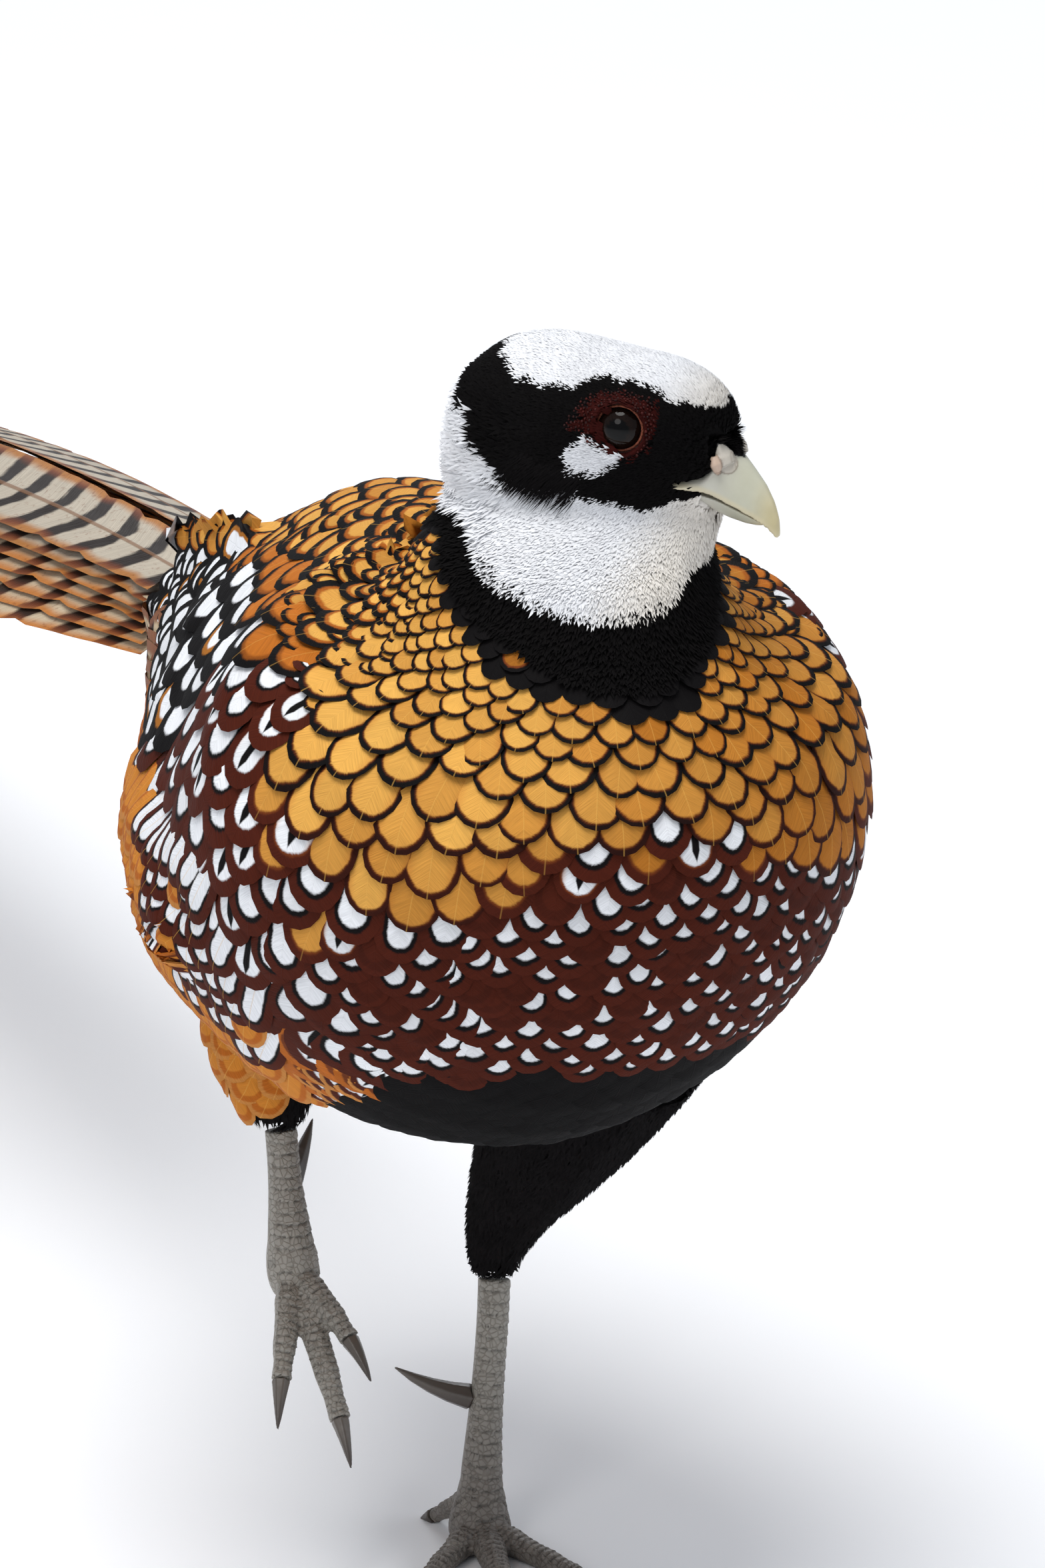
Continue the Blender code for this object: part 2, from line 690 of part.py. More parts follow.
def wing_vane(flank, name, side, root, slope, length, half, lift, spread):
    """One wing feather laid on the flank from its root backward."""
    turn = math.radians(slope)
    along = np.array([math.cos(turn), math.sin(turn)])
    across = np.array([-math.sin(turn), math.cos(turn)])
    rows = 5
    places = []
    sides = []
    normals = []
    halves = []
    thick = []
    for i in range(rows):
        f = i / (rows - 1)
        width = max(half * leaf(f * 0.985), 1.6)
        spot = np.array(root) + along * length * f + np.array([0.0, -spread * f * f])
        raised = max(lift * (0.3 + 0.7 * min(1.0, f * 3.0)) - lift * 0.2 * f, 1.9)
        middle = flank.place(side, spot[0], spot[1], raised)
        tilt = SHINGLE * width
        upper = flank.place(side, *(spot + across * width), max(raised - tilt, 1.7))
        lower = flank.place(side, *(spot - across * width), raised + tilt)
        edge = (upper - lower) / (2 * width)
        places.append(middle)
        sides.append(edge)
        out = np.array([side, 0.0, 0.0])
        normals.append(out)
        halves.append(width)
        thick.append(VANE_THICK * (1.5 - 0.7 * f))
    return vane(name, places, sides, normals, halves, thick, 2)


def wing_core(name, side, look):
    """The flesh of the folded wing: a pad that follows the torso's own rings at a gap."""
    columns = [t for t in stations(0.0, NECK_START, TORSO_STEPS) if WING_SPAN[0] < t < WING_SPAN[1]]
    first, last = WING_TURN
    rows = last - first
    grid = []
    for face in (0, 1):
        for i, t in enumerate(columns):
            f = i / (len(columns) - 1)
            inner = body_ring(t, GAP)
            outer = body_ring(t, GAP + 1.0)
            for j in range(rows + 1):
                g = j / rows
                index = (first + j) * (1 if side > 0 else -1)
                swell = math.sin(math.pi * f) ** 0.5 * math.sin(math.pi * g) ** 0.5
                thick = 0.7 + WING_CORE * swell
                way = outer[index] - inner[index]
                grid.append(inner[index] + way * (thick if face else 0.0))
    faces = []
    stride = rows + 1
    upper = len(columns) * stride
    for i in range(len(columns) - 1):
        for j in range(rows):
            a = i * stride + j
            faces.append((a, a + 1, a + stride + 1, a + stride))
            b = a + upper
            faces.append((b, b + stride, b + stride + 1, b + 1))
    end = len(columns) - 1
    border = [i * stride for i in range(end + 1)]
    border += [end * stride + j for j in range(1, rows + 1)]
    border += [i * stride + rows for i in range(end - 1, -1, -1)]
    border += [j for j in range(rows - 1, 0, -1)]
    for k, a in enumerate(border):
        b = border[(k + 1) % len(border)]
        faces.append((a, b, b + upper, a + upper))
    return solid(name, grid, faces, look)


def build_wing(flank, name, side, look):
    core = wing_core(name, side, look)
    vanes = []
    for tier, (count, shift, low_len, high_len, low_slope, high_slope, half, lift, first,
               last) in enumerate(WING_TIERS):
        for i in range(count):
            f = i / (count - 1)
            g = first + (last - first) * f
            root = np.array(WRIST) * (1 - g) + np.array(ELBOW) * g + np.array([shift, 4.0])
            length = low_len * (1 - f) + high_len * f
            slope = low_slope * (1 - f) + high_slope * f
            vanes.append(wing_vane(
                flank, f"vane_{tier}_{i}", side, root, slope, length, half,
                lift, 4.0))
    apply_boolean(core, "UNION", vanes, "MANIFOLD")
    cut_by_torso(core)
    return core


def tail_line(run):
    """Place and slope of the tail's middle line at a level run behind its root."""
    hanging = TAIL_RUN * TAIL_TOUCH
    f = min(run / hanging, 1.0)
    tip = TAIL_THICK * 0.45
    fall = TAIL_ROOT_Z - tip
    first = TAIL_SLOPE * hanging / fall
    height = (2 * f**3 - 3 * f**2 + 1) - first * (f**3 - 2 * f**2 + f)
    change = (6 * f**2 - 6 * f) - first * (3 * f**2 - 4 * f + 1)
    y = TAIL_START_Y + run
    return np.array([MID_X, y, tip + fall * height]), change * fall / hanging


def tail_vane(name, pair, side, part, half):
    """One long tail feather; the middle pair droops until its tip lies on the ground."""
    parts = stations(0.0, 1.0, 7 if part > 0.5 else 6)
    if pair == 0:
        parts = stations(0.0, TAIL_TOUCH, 7) + [1.0]
    level = np.array([1.0, 0.0, 0.0])
    roll = math.radians(5.0 + TAIL_ROLL * pair) * side
    places = []
    sides = []
    normals = []
    halves = []
    thick = []
    for f in parts:
        middle, slope = tail_line(8.0 + (TAIL_RUN - 8.0) * part * f)
        turn = math.atan(slope)
        up = np.array([0.0, -math.sin(turn), math.cos(turn)])
        settle = max(0.0, 1.0 - f / TAIL_TOUCH) if pair == 0 else 1.0
        tilt = roll * settle
        width = half * leaf(f * 0.99, 0.8) * (1.0 - 0.45 * f) + 1.2
        out = side * (2.0 + 0.87 * width + pair * (1.2 + 4.0 * f))
        below = (TAIL_STEP * pair - 5.0) * settle
        places.append(middle + level * out - up * below)
        sides.append(level * math.cos(tilt) - up * math.sin(tilt))
        normals.append(up * math.cos(tilt) + level * math.sin(tilt))
        halves.append(width)
        thick.append(TAIL_THICK * (1.2 - 0.3 * min(1.0, f / TAIL_TOUCH)))
    return vane(name, places, sides, normals, halves, thick, 3)


def build_tail(look):
    """The tail's root and its feathers in tiers to each side, the middle pair on top."""
    rings = []
    for i in range(4):
        f = i / 3
        run = -5.0 + 51.0 * f
        middle, slope = tail_line(run)
        half = 23.6 - 3.0 * f
        up = 15.6 - 9.0 * f
        down = 15.6 - 4.0 * f
        ring = []
        for k in range(14):
            turn = 2 * math.pi * k / 14
            c = math.cos(turn)
            s = math.sin(turn)
            ring.append(middle + np.array([half * s, 0.0, (up if c > 0 else down) * c]))
        rings.append(ring)
    core = loft("tail", rings, look)
    vanes = []
    for pair, (part, half) in enumerate(TAIL_PAIRS):
        for side in (1.0, -1.0):
            vanes.append(tail_vane(f"tail_{pair}_{side:.0f}", pair, side, part, half))
    apply_boolean(core, "UNION", vanes, "MANIFOLD")
    return cut_by_torso(core)


def build():
    for thing in list(bpy.data.objects):
        bpy.data.objects.remove(thing)
    gold = material("gold_feather", (0.62, 0.33, 0.06), 0.6)
    black = material("black_feather", (0.012, 0.011, 0.012), 0.55)
    white = material("white_feather", (0.86, 0.85, 0.82), 0.6)
    maroon = material("maroon_feather", (0.17, 0.03, 0.012), 0.55)
    barred = material("tail_feather", (0.6, 0.42, 0.26), 0.6)
    horn = material("bill_horn", (0.6, 0.64, 0.52), 0.35)
    skin = material("leg_skin", (0.2, 0.19, 0.17), 0.6)
    dark = material("claw_horn", (0.07, 0.055, 0.05), 0.4)
    eye = material("eye", (0.01, 0.008, 0.008), 0.08)
    torso = build_torso(gold)
    head = build_head(white)
    build_neck(head, black)
    build_eyes(head, eye)
    build_bill(horn)
    build_legs(black, skin, dark)
    flank = Flank(torso)
    build_wing(flank, "wing_left", 1.0, maroon)
    build_wing(flank, "wing_right", -1.0, maroon)
    build_tail(barred)


build()
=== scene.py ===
"""Looks of the still, life-size model of an adult male Reeves's pheasant.

Lengths in the tables and functions are millimetres; meshes are made in metres.
The bird faces -Y, its right side is -X, and the floor is z = 0.
"""
import math

import bpy
import numpy as np
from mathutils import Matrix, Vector
from mathutils.bvhtree import BVHTree


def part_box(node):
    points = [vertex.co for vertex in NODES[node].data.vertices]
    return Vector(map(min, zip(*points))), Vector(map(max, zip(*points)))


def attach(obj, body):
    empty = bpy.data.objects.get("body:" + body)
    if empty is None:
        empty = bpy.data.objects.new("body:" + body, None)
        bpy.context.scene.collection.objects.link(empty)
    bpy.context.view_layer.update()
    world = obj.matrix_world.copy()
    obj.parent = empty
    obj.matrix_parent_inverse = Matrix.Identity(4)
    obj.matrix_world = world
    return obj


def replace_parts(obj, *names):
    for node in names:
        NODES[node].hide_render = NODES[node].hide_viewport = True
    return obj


MM = 0.001
MID_X = -12.0
TURN = 2 * math.pi

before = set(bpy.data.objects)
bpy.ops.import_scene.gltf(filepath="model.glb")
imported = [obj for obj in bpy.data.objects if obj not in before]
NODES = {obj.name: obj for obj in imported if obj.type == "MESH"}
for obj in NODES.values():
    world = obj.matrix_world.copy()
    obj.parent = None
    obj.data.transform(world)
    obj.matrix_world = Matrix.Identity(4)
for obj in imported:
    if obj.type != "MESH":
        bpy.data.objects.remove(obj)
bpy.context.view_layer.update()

# Camera at the photo's viewing angle
CAMERA_TURN = math.radians(-22.0)
CAMERA_RISE = math.radians(20.0)
CAMERA_REACH = 3.0
CAMERA_AIM = (0.00995, -0.00529, 0.21177)
CAMERA_LENS = 17550.0 / 2352.0 * 36.0


def colour(*levels):
    """Linear colour from the 0 to 255 values seen on a screen."""
    c = np.array(levels) / 255.0
    return np.append(np.where(c <= 0.04045, c / 12.92, ((c + 0.055) / 1.055) ** 2.4), 1.0)


def unit(v):
    """Rows of v at length 1."""
    return v / np.maximum(np.linalg.norm(v, axis=-1, keepdims=True), 1e-9)


def flattened(ways, normals):
    """Ways laid flat on the surfaces with these normals, at length 1."""
    return unit(ways - normals * (ways * normals).sum(1)[:, None])


def smooth(low, high, value):
    """0 below low, 1 above high, with a smooth step between."""
    t = np.clip((value - low) / (high - low), 0.0, 1.0)
    return t * t * (3.0 - 2.0 * t)


def mixed(a, b, share):
    """a where the share is 0, b where it is 1."""
    return a * (1 - share) + b * share


def blend(tint, tone, share):
    """Colours mixed by one share for each place."""
    return mixed(tint, tone, share[:, None])


# Surfaces
def mesh_arrays(mesh):
    """Points in millimetres and triangles of a mesh."""
    mesh.calc_loop_triangles()
    points = np.empty(len(mesh.vertices) * 3)
    mesh.vertices.foreach_get("co", points)
    tris = np.empty(len(mesh.loop_triangles) * 3, dtype=np.int32)
    mesh.loop_triangles.foreach_get("vertices", tris)
    return points.reshape(-1, 3) / MM, tris.reshape(-1, 3)


def node_mesh(name):
    """Points and triangles of a CAD node, with shared points welded."""
    points, tris = mesh_arrays(NODES[name].data)
    _, first, back = np.unique(np.round(points, 3), axis=0, return_index=True, return_inverse=True)
    tris = back.reshape(-1)[tris]
    good = (tris[:, 0] != tris[:, 1]) & (tris[:, 1] != tris[:, 2]) & (tris[:, 0] != tris[:, 2])
    return points[first], tris[good]


def joined(meshes):
    """One mesh of several."""
    starts = np.cumsum([0] + [len(p) for p, _ in meshes])
    points = np.concatenate([p for p, _ in meshes])
    return points, np.concatenate([t + s for (_, t), s in zip(meshes, starts)])


def point_normals(points, tris):
    a, b, c = (points[tris[:, k]] for k in range(3))
    face = np.cross(b - a, c - a)
    out = np.zeros_like(points)
    for axis in range(3):
        for k in range(3):
            out[:, axis] += np.bincount(tris[:, k], face[:, axis], len(points))
    return unit(out)


def relaxed(points, tris, passes):
    """Points after smoothing that keeps the volume."""
    edges = np.concatenate([tris[:, (0, 1)], tris[:, (1, 2)], tris[:, (2, 0)]])
    a, b = np.unique(np.sort(edges, axis=1), axis=0).T
    count = np.maximum(np.bincount(np.concatenate([a, b]), minlength=len(points)), 1.0)[:, None]
    for share in (0.55, -0.57) * passes:
        total = np.stack([np.bincount(a, v[b], len(points)) + np.bincount(b, v[a], len(points))
                          for v in points.T], 1)
        points = points + share * (total / count - points)
    return points


def melted(parts, swell, voxel, passes):
    """One smooth closed surface round these nodes or meshes; a swell closes gaps of twice its size."""
    meshes = [node_mesh(part) if isinstance(part, str) else part for part in parts]
    points, tris = joined([(p + point_normals(p, t) * swell, t) for p, t in meshes])
    mesh = bpy.data.meshes.new("melting")
    mesh.from_pydata((points * MM).tolist(), [], tris.tolist())
    thing = bpy.data.objects.new("melting", mesh)
    bpy.context.scene.collection.objects.link(thing)
    remesh = thing.modifiers.new("remesh", "REMESH")
    remesh.mode = "VOXEL"
    remesh.voxel_size = voxel * MM
    points, tris = mesh_arrays(thing.evaluated_get(bpy.context.evaluated_depsgraph_get()).to_mesh())
    bpy.data.objects.remove(thing)
    bpy.data.meshes.remove(mesh)
    points = relaxed(points, tris, passes)
    return points - point_normals(points, tris) * swell, tris


class Surface:
    """A smooth surface that feathers are laid on."""

    def __init__(self, points, tris):
        self.points = points
        self.tris = tris
        self.normals = point_normals(points, tris)
        self.tree = BVHTree.FromPolygons(points.tolist(), tris.tolist())

    def nearest(self, spots):
        """Nearest places on the surface and the smooth normals there."""
        places = np.empty_like(spots)
        index = np.empty(len(spots), dtype=np.int64)
        for i, spot in enumerate(spots.tolist()):
            places[i], _, index[i], _ = self.tree.find_nearest(spot)
        corners = self.tris[index]
        a, b, c = (self.points[corners[:, k]] for k in range(3))
        whole = np.cross(b - a, c - a)
        area = np.maximum((whole * whole).sum(1), 1e-12)
        wa = (np.cross(b - places, c - places) * whole).sum(1) / area
        wb = (np.cross(c - places, a - places) * whole).sum(1) / area
        shares = (wa, wb, 1.0 - wa - wb)
        return places, unit(sum(self.normals[corners[:, k]] * shares[k][:, None] for k in range(3)))


def part_line(spots, a, b):
    """How far places lie along the line from a to b, their ways off it, its way and its length."""
    long = np.linalg.norm(b - a)
    way = (b - a) / long
    t = np.clip((spots - a) @ way, 0.0, long)
    return t, spots - (a + t[:, None] * way), way, long


# Head axes, as in the solids
HEAD_CENTRE = np.array([-5.0, -75.5, 331.5])
HEAD_TURN = math.radians(43.0)
HEAD_DIP = math.radians(10.0)
LEVEL = np.array([math.sin(HEAD_TURN), -math.cos(HEAD_TURN), 0.0])
FORWARD = LEVEL * math.cos(HEAD_DIP) - np.array([0.0, 0.0, math.sin(HEAD_DIP)])
LEFTWARD = np.array([math.cos(HEAD_TURN), math.sin(HEAD_TURN), 0.0])
UPWARD = np.cross(FORWARD, LEFTWARD)


def head_point(along, left, up):
    return HEAD_CENTRE + FORWARD * along + LEFTWARD * left + UPWARD * up


def head_frame(spots):
    """How far each place lies along, to the left of and above the head's centre."""
    away = spots - HEAD_CENTRE
    return away @ FORWARD, away @ LEFTWARD, away @ UPWARD


def inside(x, y, corners):
    """True where (x, y) is inside the closed outline."""
    found = np.zeros(len(x), dtype=bool)
    for (ax, ay), (bx, by) in zip(corners, corners[1:] + corners[:1]):
        crosses = (ay > y) != (by > y)
        at = ax + (y - ay) * (bx - ax) / (by - ay if by != ay else 1e-9)
        found ^= crosses & (x < at)
    return found


# Outlines of the face's markings seen from the side, along and up
MASK = [(-19, 16.7), (-12, 15.5), (-4.2, 14.7), (2.6, 17), (8.6, 20.3), (16.7, 21.4), (24.3, 20.6),
        (31.3, 20.4), (38.3, 19.8), (50, 20), (50, -2.6), (40.1, -3.1), (34, -5.9), (27.7, -9.6),
        (23.8, -10.1), (16.9, -9.4), (8.4, -9.5), (1, -10.1), (-9.3, -8.9), (-16.4, -6.1),
        (-19.5, -1.8), (-24.4, 2.4), (-45, 4.5), (-45, 14.5), (-26, 16)]
CHEEK = [(7.7, -3.8), (6.2, 1.7), (9.6, 7.4), (14.8, 5.6), (20.4, 3.4), (14.0, -2.4)]
RED_SKIN = [(5.7, 8.3), (7.4, 15), (11.5, 17.9), (17, 19.4), (24.5, 19.0), (27.0, 14), (26.6, 8),
            (22, 3.6), (14.8, 6.0), (10, 7.8)]
# Bare horn of the bill's base and the mouth's corner
BARE = [(33.4, -0.9), (36.6, 1.2), (39.1, 2.0), (41.8, 3.4), (41.6, 5.3), (40.4, 7.8), (39.7, 9.6),
        (39.8, 12.1), (40, 13.8), (42.3, 12.2), (46, 10.2), (60, 10), (60, -16), (46.4, -7.2), (43.8, -6.3),
        (39.2, -4.8), (40, -3.2), (40.5, -1.8), (38.3, -1), (36, -1.6)]
RING_CENTRE = np.array([-9.0, -82.0, 296.0])


def ring_distance(spots):
    """Distance from the middle of the black neck ring."""
    return np.linalg.norm(spots - RING_CENTRE, axis=1)


def white_edge(y):
    """Height of the white collar's lower edge at a place along the body."""
    return np.where(y < -76.0, 310.0 + 0.40 * (y + 76.0), 310.0 - 0.10 * (y + 76.0))


def ring_edge(y):
    """Height of the black neck ring's lower edge."""
    return np.where(y < -69.0, 305.0 + 0.478 * (y + 69.0), 305.0 - 0.35 * (y + 69.0))


def over_ring_edge(spots, rise):
    """True on the neck, more than this rise above the ring's lower edge."""
    x, y, z = spots.T
    return ((y < -62.0) | (np.hypot(x + 8.5, y + 79.0) < 45.0)) & (z > ring_edge(y) + rise)


# Feather colours
GOLD = colour(174, 108, 36)
PALE_GOLD = colour(224, 172, 86)
ORANGE = colour(172, 94, 30)
BLACK = colour(13, 11, 12)
MAROON = colour(72, 27, 15)
CHESTNUT = colour(108, 52, 22)
WHITE = colour(226, 228, 232)
CREAM = colour(228, 214, 186)
FRINGE = colour(196, 124, 46)
BUFF = colour(186, 124, 62)


def noise(spots, scale, seed):
    """Soft seeded waves over space, about -1 to 1."""
    draw = np.random.default_rng(seed)
    total = np.zeros(len(spots))
    for _ in range(6):
        way = draw.normal(size=3)
        way /= np.linalg.norm(way)
        total += np.sin(spots @ way * (TURN / scale) * draw.uniform(0.7, 1.4) + draw.uniform(0, 6.3))
    return total / 3.0


def zones(spots):
    """True on each plumage zone of the body, by name."""
    x, y, z = spots.T
    side = np.abs(x - MID_X)
    wob = noise(spots, 40.0, 5) * 3.0
    ring = over_ring_edge(spots, wob * 0.35)
    # gold over the breast, down to a curve that climbs the sides
    lower = np.interp(side, (0, 15, 30, 45, 58, 62, 70, 76, 82),
                      (251, 246, 241, 232, 222, 219, 228, 242, 270))
    edge_back = np.interp(z, (218, 230, 249, 266, 280), (-113, -102, -95, -84, -67))
    front = (y < -60.0) & (z > lower + wob) & ((y < edge_back + wob * 0.5) | (side < 55))
    # gold over the back, above an orange band along the shoulders and the white and black scapulars
    crest = np.interp(y, (-70, -45, 12, 58, 80, 97, 133, 150), (284, 288, 278, 263, 259, 250, 238, 234))
    crest = crest + wob * 0.5
    band = crest - np.interp(y, (-70, -45, -20, 12, 58), (7, 15, 16, 13, 3))
    base = np.interp(y, (-62, -54, 0, 4, 85, 150), (277, 271, 246, 228, 216, 205)) + wob
    mantle = (y >= -70) & (z > np.minimum(crest, 280.0)) & (side < 60)
    gold = (front | mantle) & ~ring
    shoulder = ~gold & ~ring & (y >= -70) & (z > band) & (y < 60)
    scap = ~gold & ~ring & ~shoulder & (y >= -62) & (z > base)
    # black below
    black_top = np.interp(side, (0, 45, 52, 58, 64), (173, 172, 160, 132, 94))
    black_top = black_top + np.interp(y, (-110, -60, 0), (4, 0, -6)) + wob
    vent = (y > 70) & (z < np.interp(y, (70, 110, 150), (176, 190, 208)))
    belly = ((z < black_top) | vent) & ~ring & ~gold
    flank_top = np.interp(y, (-88, -60, -20, 20, 60), (168, 186, 196, 214, 216)) + wob
    flank = ~gold & ~scap & ~shoulder & ~belly & ~ring & (y > -88) & (z < flank_top)
    net = ~(gold | scap | shoulder | belly | ring | flank)
    return {"ring": ring, "gold": gold, "scapular": scap, "shoulder": shoulder, "flank": flank, "net": net}


# Materials
class Graph:
    """Small helper that adds shader nodes to one material."""

    def __init__(self, name, roughness, specular, **sockets):
        self.material = bpy.data.materials.new(name)
        self.material.use_nodes = True
        self.tree = self.material.node_tree
        self.shader = next(n for n in self.tree.nodes if n.type == "BSDF_PRINCIPLED")
        self.shader.inputs["Roughness"].default_value = roughness
        self.shader.inputs["Specular IOR Level"].default_value = specular
        for key, value in sockets.items():
            self.shader.inputs[key.replace("_", " ")].default_value = value

    def node(self, kind, *values, **settings):
        made = self.tree.nodes.new("ShaderNode" + kind)
        for key, value in settings.items():
            setattr(made, key, value)
        for value, socket in zip(values, made.inputs):
            self.link(value, socket)
        return made

    def link(self, value, socket):
        if isinstance(value, bpy.types.NodeSocket):
            self.tree.links.new(value, socket)
        elif hasattr(value, "__len__"):
            socket.default_value = tuple(value)[:len(socket.default_value)]
        else:
            socket.default_value = value

    def math(self, operation, *values):
        return self.node("Math", *values, operation=operation).outputs[0]

    def add(self, a, b):
        return self.math("ADD", a, b)

    def sub(self, a, b):
        return self.math("SUBTRACT", a, b)

    def mul(self, a, b):
        return self.math("MULTIPLY", a, b)

    def sway(self, value, by, amount):
        """A value moved by noise of 0 to 1, at most half the amount either way."""
        return self.add(value, self.mul(self.sub(by, 0.5), amount))

    def step(self, low, high, value):
        """0 below low, 1 above high, smooth between."""
        return self.node("MapRange", value, low, high, interpolation_type="SMOOTHSTEP").outputs[0]

    def mix(self, a, b, share, kind="MIX"):
        made = self.node("Mix", share, data_type="RGBA", blend_type=kind)
        self.link(a, made.inputs[6])
        self.link(b, made.inputs[7])
        return made.outputs[2]

    def barred(self, base, barbs):
        """The base colour, a little darker and lighter from barb to barb."""
        grey = self.node("MapRange", barbs, 0.25, 0.75, 0.84, 1.1).outputs[0]
        return self.mix(base, self.join(grey, grey, grey), 1.0, "MULTIPLY")

    def attribute(self, name, output="Color"):
        return self.node("Attribute", attribute_name=name).outputs[output]

    def join(self, x, y, z):
        return self.node("CombineXYZ", x, y, z).outputs[0]

    def split(self, vector):
        return self.node("SeparateXYZ", vector).outputs

    def noise(self, vector, scale, detail=2.0):
        made = self.node("TexNoise", vector)
        made.inputs["Scale"].default_value = scale
        made.inputs["Detail"].default_value = detail
        return made.outputs[0]

    def place(self):
        return self.node("TexCoord").outputs["Object"]

    def vane(self):
        """Place on the feather, across and along, with the feather's own radii and seed."""
        x, along, _ = self.split(self.node("UVMap", uv_map="vane").outputs[0])
        shape = self.split(self.attribute("shape", "Vector"))
        return x, along, self.math("ABSOLUTE", x), shape, self.attribute("seed", "Fac")

    def bump(self, height, strength, distance):
        made = self.node("Bump")
        made.inputs["Strength"].default_value = strength
        made.inputs["Distance"].default_value = distance
        self.link(height, made.inputs["Height"])
        self.tree.links.new(made.outputs[0], self.shader.inputs["Normal"])

    def finish(self, base, roughness=None):
        self.link(base, self.shader.inputs["Base Color"])
        if roughness is not None:
            self.link(roughness, self.shader.inputs["Roughness"])
        return self.material


def scale_feather_material():
    """Rounded body feather: edge, middle band, patch and fringe colours come from the feather."""
    g = Graph("feather_scale", 0.7, 0.07)
    x, along, wide, shape, seed = g.vane()
    ahead = g.math("MAXIMUM", along, 0.0)
    reach = g.math("SQRT", g.add(g.mul(wide, wide), g.mul(ahead, ahead)))
    blur = g.noise(g.join(x, along, g.mul(seed, 57.0)), 2.2)
    lean = g.sub(along, g.mul(wide, 0.75))
    barbs = g.noise(g.join(g.mul(lean, 26.0), g.mul(wide, 1.4), g.mul(seed, 91.0)), 1.0, 1.0)
    reach = g.sway(g.sway(reach, blur, 0.16), barbs, 0.07)
    soft = 0.045
    base = g.mix(g.attribute("c_patch"), g.attribute("c_fringe"), g.step(0.42, 0.86, wide))
    base = g.mix(base, g.attribute("c_mid"), g.step(g.sub(shape[1], soft), g.add(shape[1], soft), reach))
    wedge_line = g.math("MINIMUM", g.mul(g.sub(0.62, along), shape[2]), 0.17)
    base = g.mix(base, BLACK, g.step(0.0, 0.06, g.sub(wedge_line, wide)))
    base = g.mix(base, g.attribute("c_edge"), g.step(g.sub(shape[0], soft), g.add(shape[0], soft), reach))
    base = g.barred(base, barbs)
    shaft = g.sub(1.0, g.step(0.012, 0.03, wide))
    base = g.mix(base, PALE_GOLD, g.mul(shaft, g.attribute("shape", "Alpha")))
    g.bump(g.add(barbs, g.mul(shaft, 0.8)), 0.35, 0.0005)
    return g.finish(base)


def long_feather_material():
    """Barred flight and tail feathers: bars cross the vane, its edges are rufous."""
    g = Graph("feather_long", 0.55, 0.2)
    x, along, wide, shape, seed = g.vane()
    shift = g.mul(seed, 83.0)
    wander = g.noise(g.join(x, along, shift), 1.3)
    barb_line = g.sub(along, g.mul(wide, shape[1]))
    barb = g.noise(g.join(g.mul(barb_line, 46.0), g.mul(wide, 1.2), shift), 1.0, 1.0)
    line = g.sway(g.sway(along, wander, 0.34), barb, 0.09)
    line = g.sub(line, g.mul(g.math("POWER", wide, 1.6), 0.42))
    phase = g.math("FRACT", g.add(line, g.mul(seed, 7.0)))
    bar = g.mul(g.step(0.10, 0.19, phase), g.sub(1.0, g.step(0.47, 0.58, phase)))
    margin = g.sway(wide, wander, 0.3)
    outer = g.step(g.sub(shape[0], 0.16), g.add(shape[0], 0.12), margin)
    rufous = g.attribute("c_mid")
    ground = g.mix(g.attribute("c_patch"), g.attribute("c_fringe"), outer)
    speckle = g.noise(g.join(g.mul(x, 9.0), g.mul(along, 11.0), shift), 1.0, 3.0)
    ground = g.mix(ground, rufous, g.mul(g.step(0.56, 0.72, speckle), 0.35))
    faint = g.step(g.add(shape[0], 0.02), g.add(shape[0], 0.3), margin)
    strength = g.sub(1.0, g.mul(faint, 0.75))
    base = g.mix(ground, g.mix(g.attribute("c_edge"), rufous, outer), g.mul(bar, strength))
    base = g.barred(base, barb)
    shaft = g.sub(1.0, g.step(0.03, 0.07, wide))
    base = g.mix(base, colour(120, 84, 56), g.mul(shaft, 0.75))
    g.bump(g.add(barb, shaft), 0.4, 0.0005)
    return g.finish(base)


def tuft_material():
    """Soft small feathers of head and neck: the colour comes from the tuft."""
    g = Graph("feather_tuft", 0.85, 0.04)
    where = g.place()
    grain = g.noise(where, 900.0)
    clouds = g.noise(where, 120.0)
    base = g.mix(g.attribute("tint"), (0.55, 0.52, 0.5, 1.0), g.mul(clouds, 0.22), "MULTIPLY")
    base = g.mix(base, (1.0, 0.99, 0.97, 1.0), g.mul(grain, 0.004))
    g.bump(grain, 0.25, 0.0002)
    return g.finish(base)


def skin_material():
    g = Graph("skin_under_feathers", 0.85, 0.08)
    grain = g.noise(g.place(), 600.0, 3.0)
    base = g.mix(g.attribute("tint"), (0.6, 0.58, 0.56, 1.0), g.mul(grain, 0.5), "MULTIPLY")
    g.bump(grain, 0.5, 0.0006)
    return g.finish(base)


def horn_material(name, roughness, grain_scale):
    """Bill, claws and spurs: the colour comes from the piece, with fine growth lines."""
    g = Graph(name, roughness, 0.5, Coat_Weight=0.15, Coat_Roughness=0.3)
    where = g.place()
    cloud = g.noise(where, grain_scale, 3.0)
    lines = g.noise(g.join(*[g.mul(s, k) for s, k in zip(g.split(where), (500.0, 500.0, 2200.0))]), 1.0)
    base = g.mix(g.attribute("tint"), (0.62, 0.58, 0.5, 1.0), g.mul(cloud, 0.45), "MULTIPLY")
    g.bump(g.add(cloud, g.mul(lines, 0.5)), 0.12, 0.0004)
    return g.finish(base, g.add(roughness - 0.08, g.mul(cloud, 0.2)))


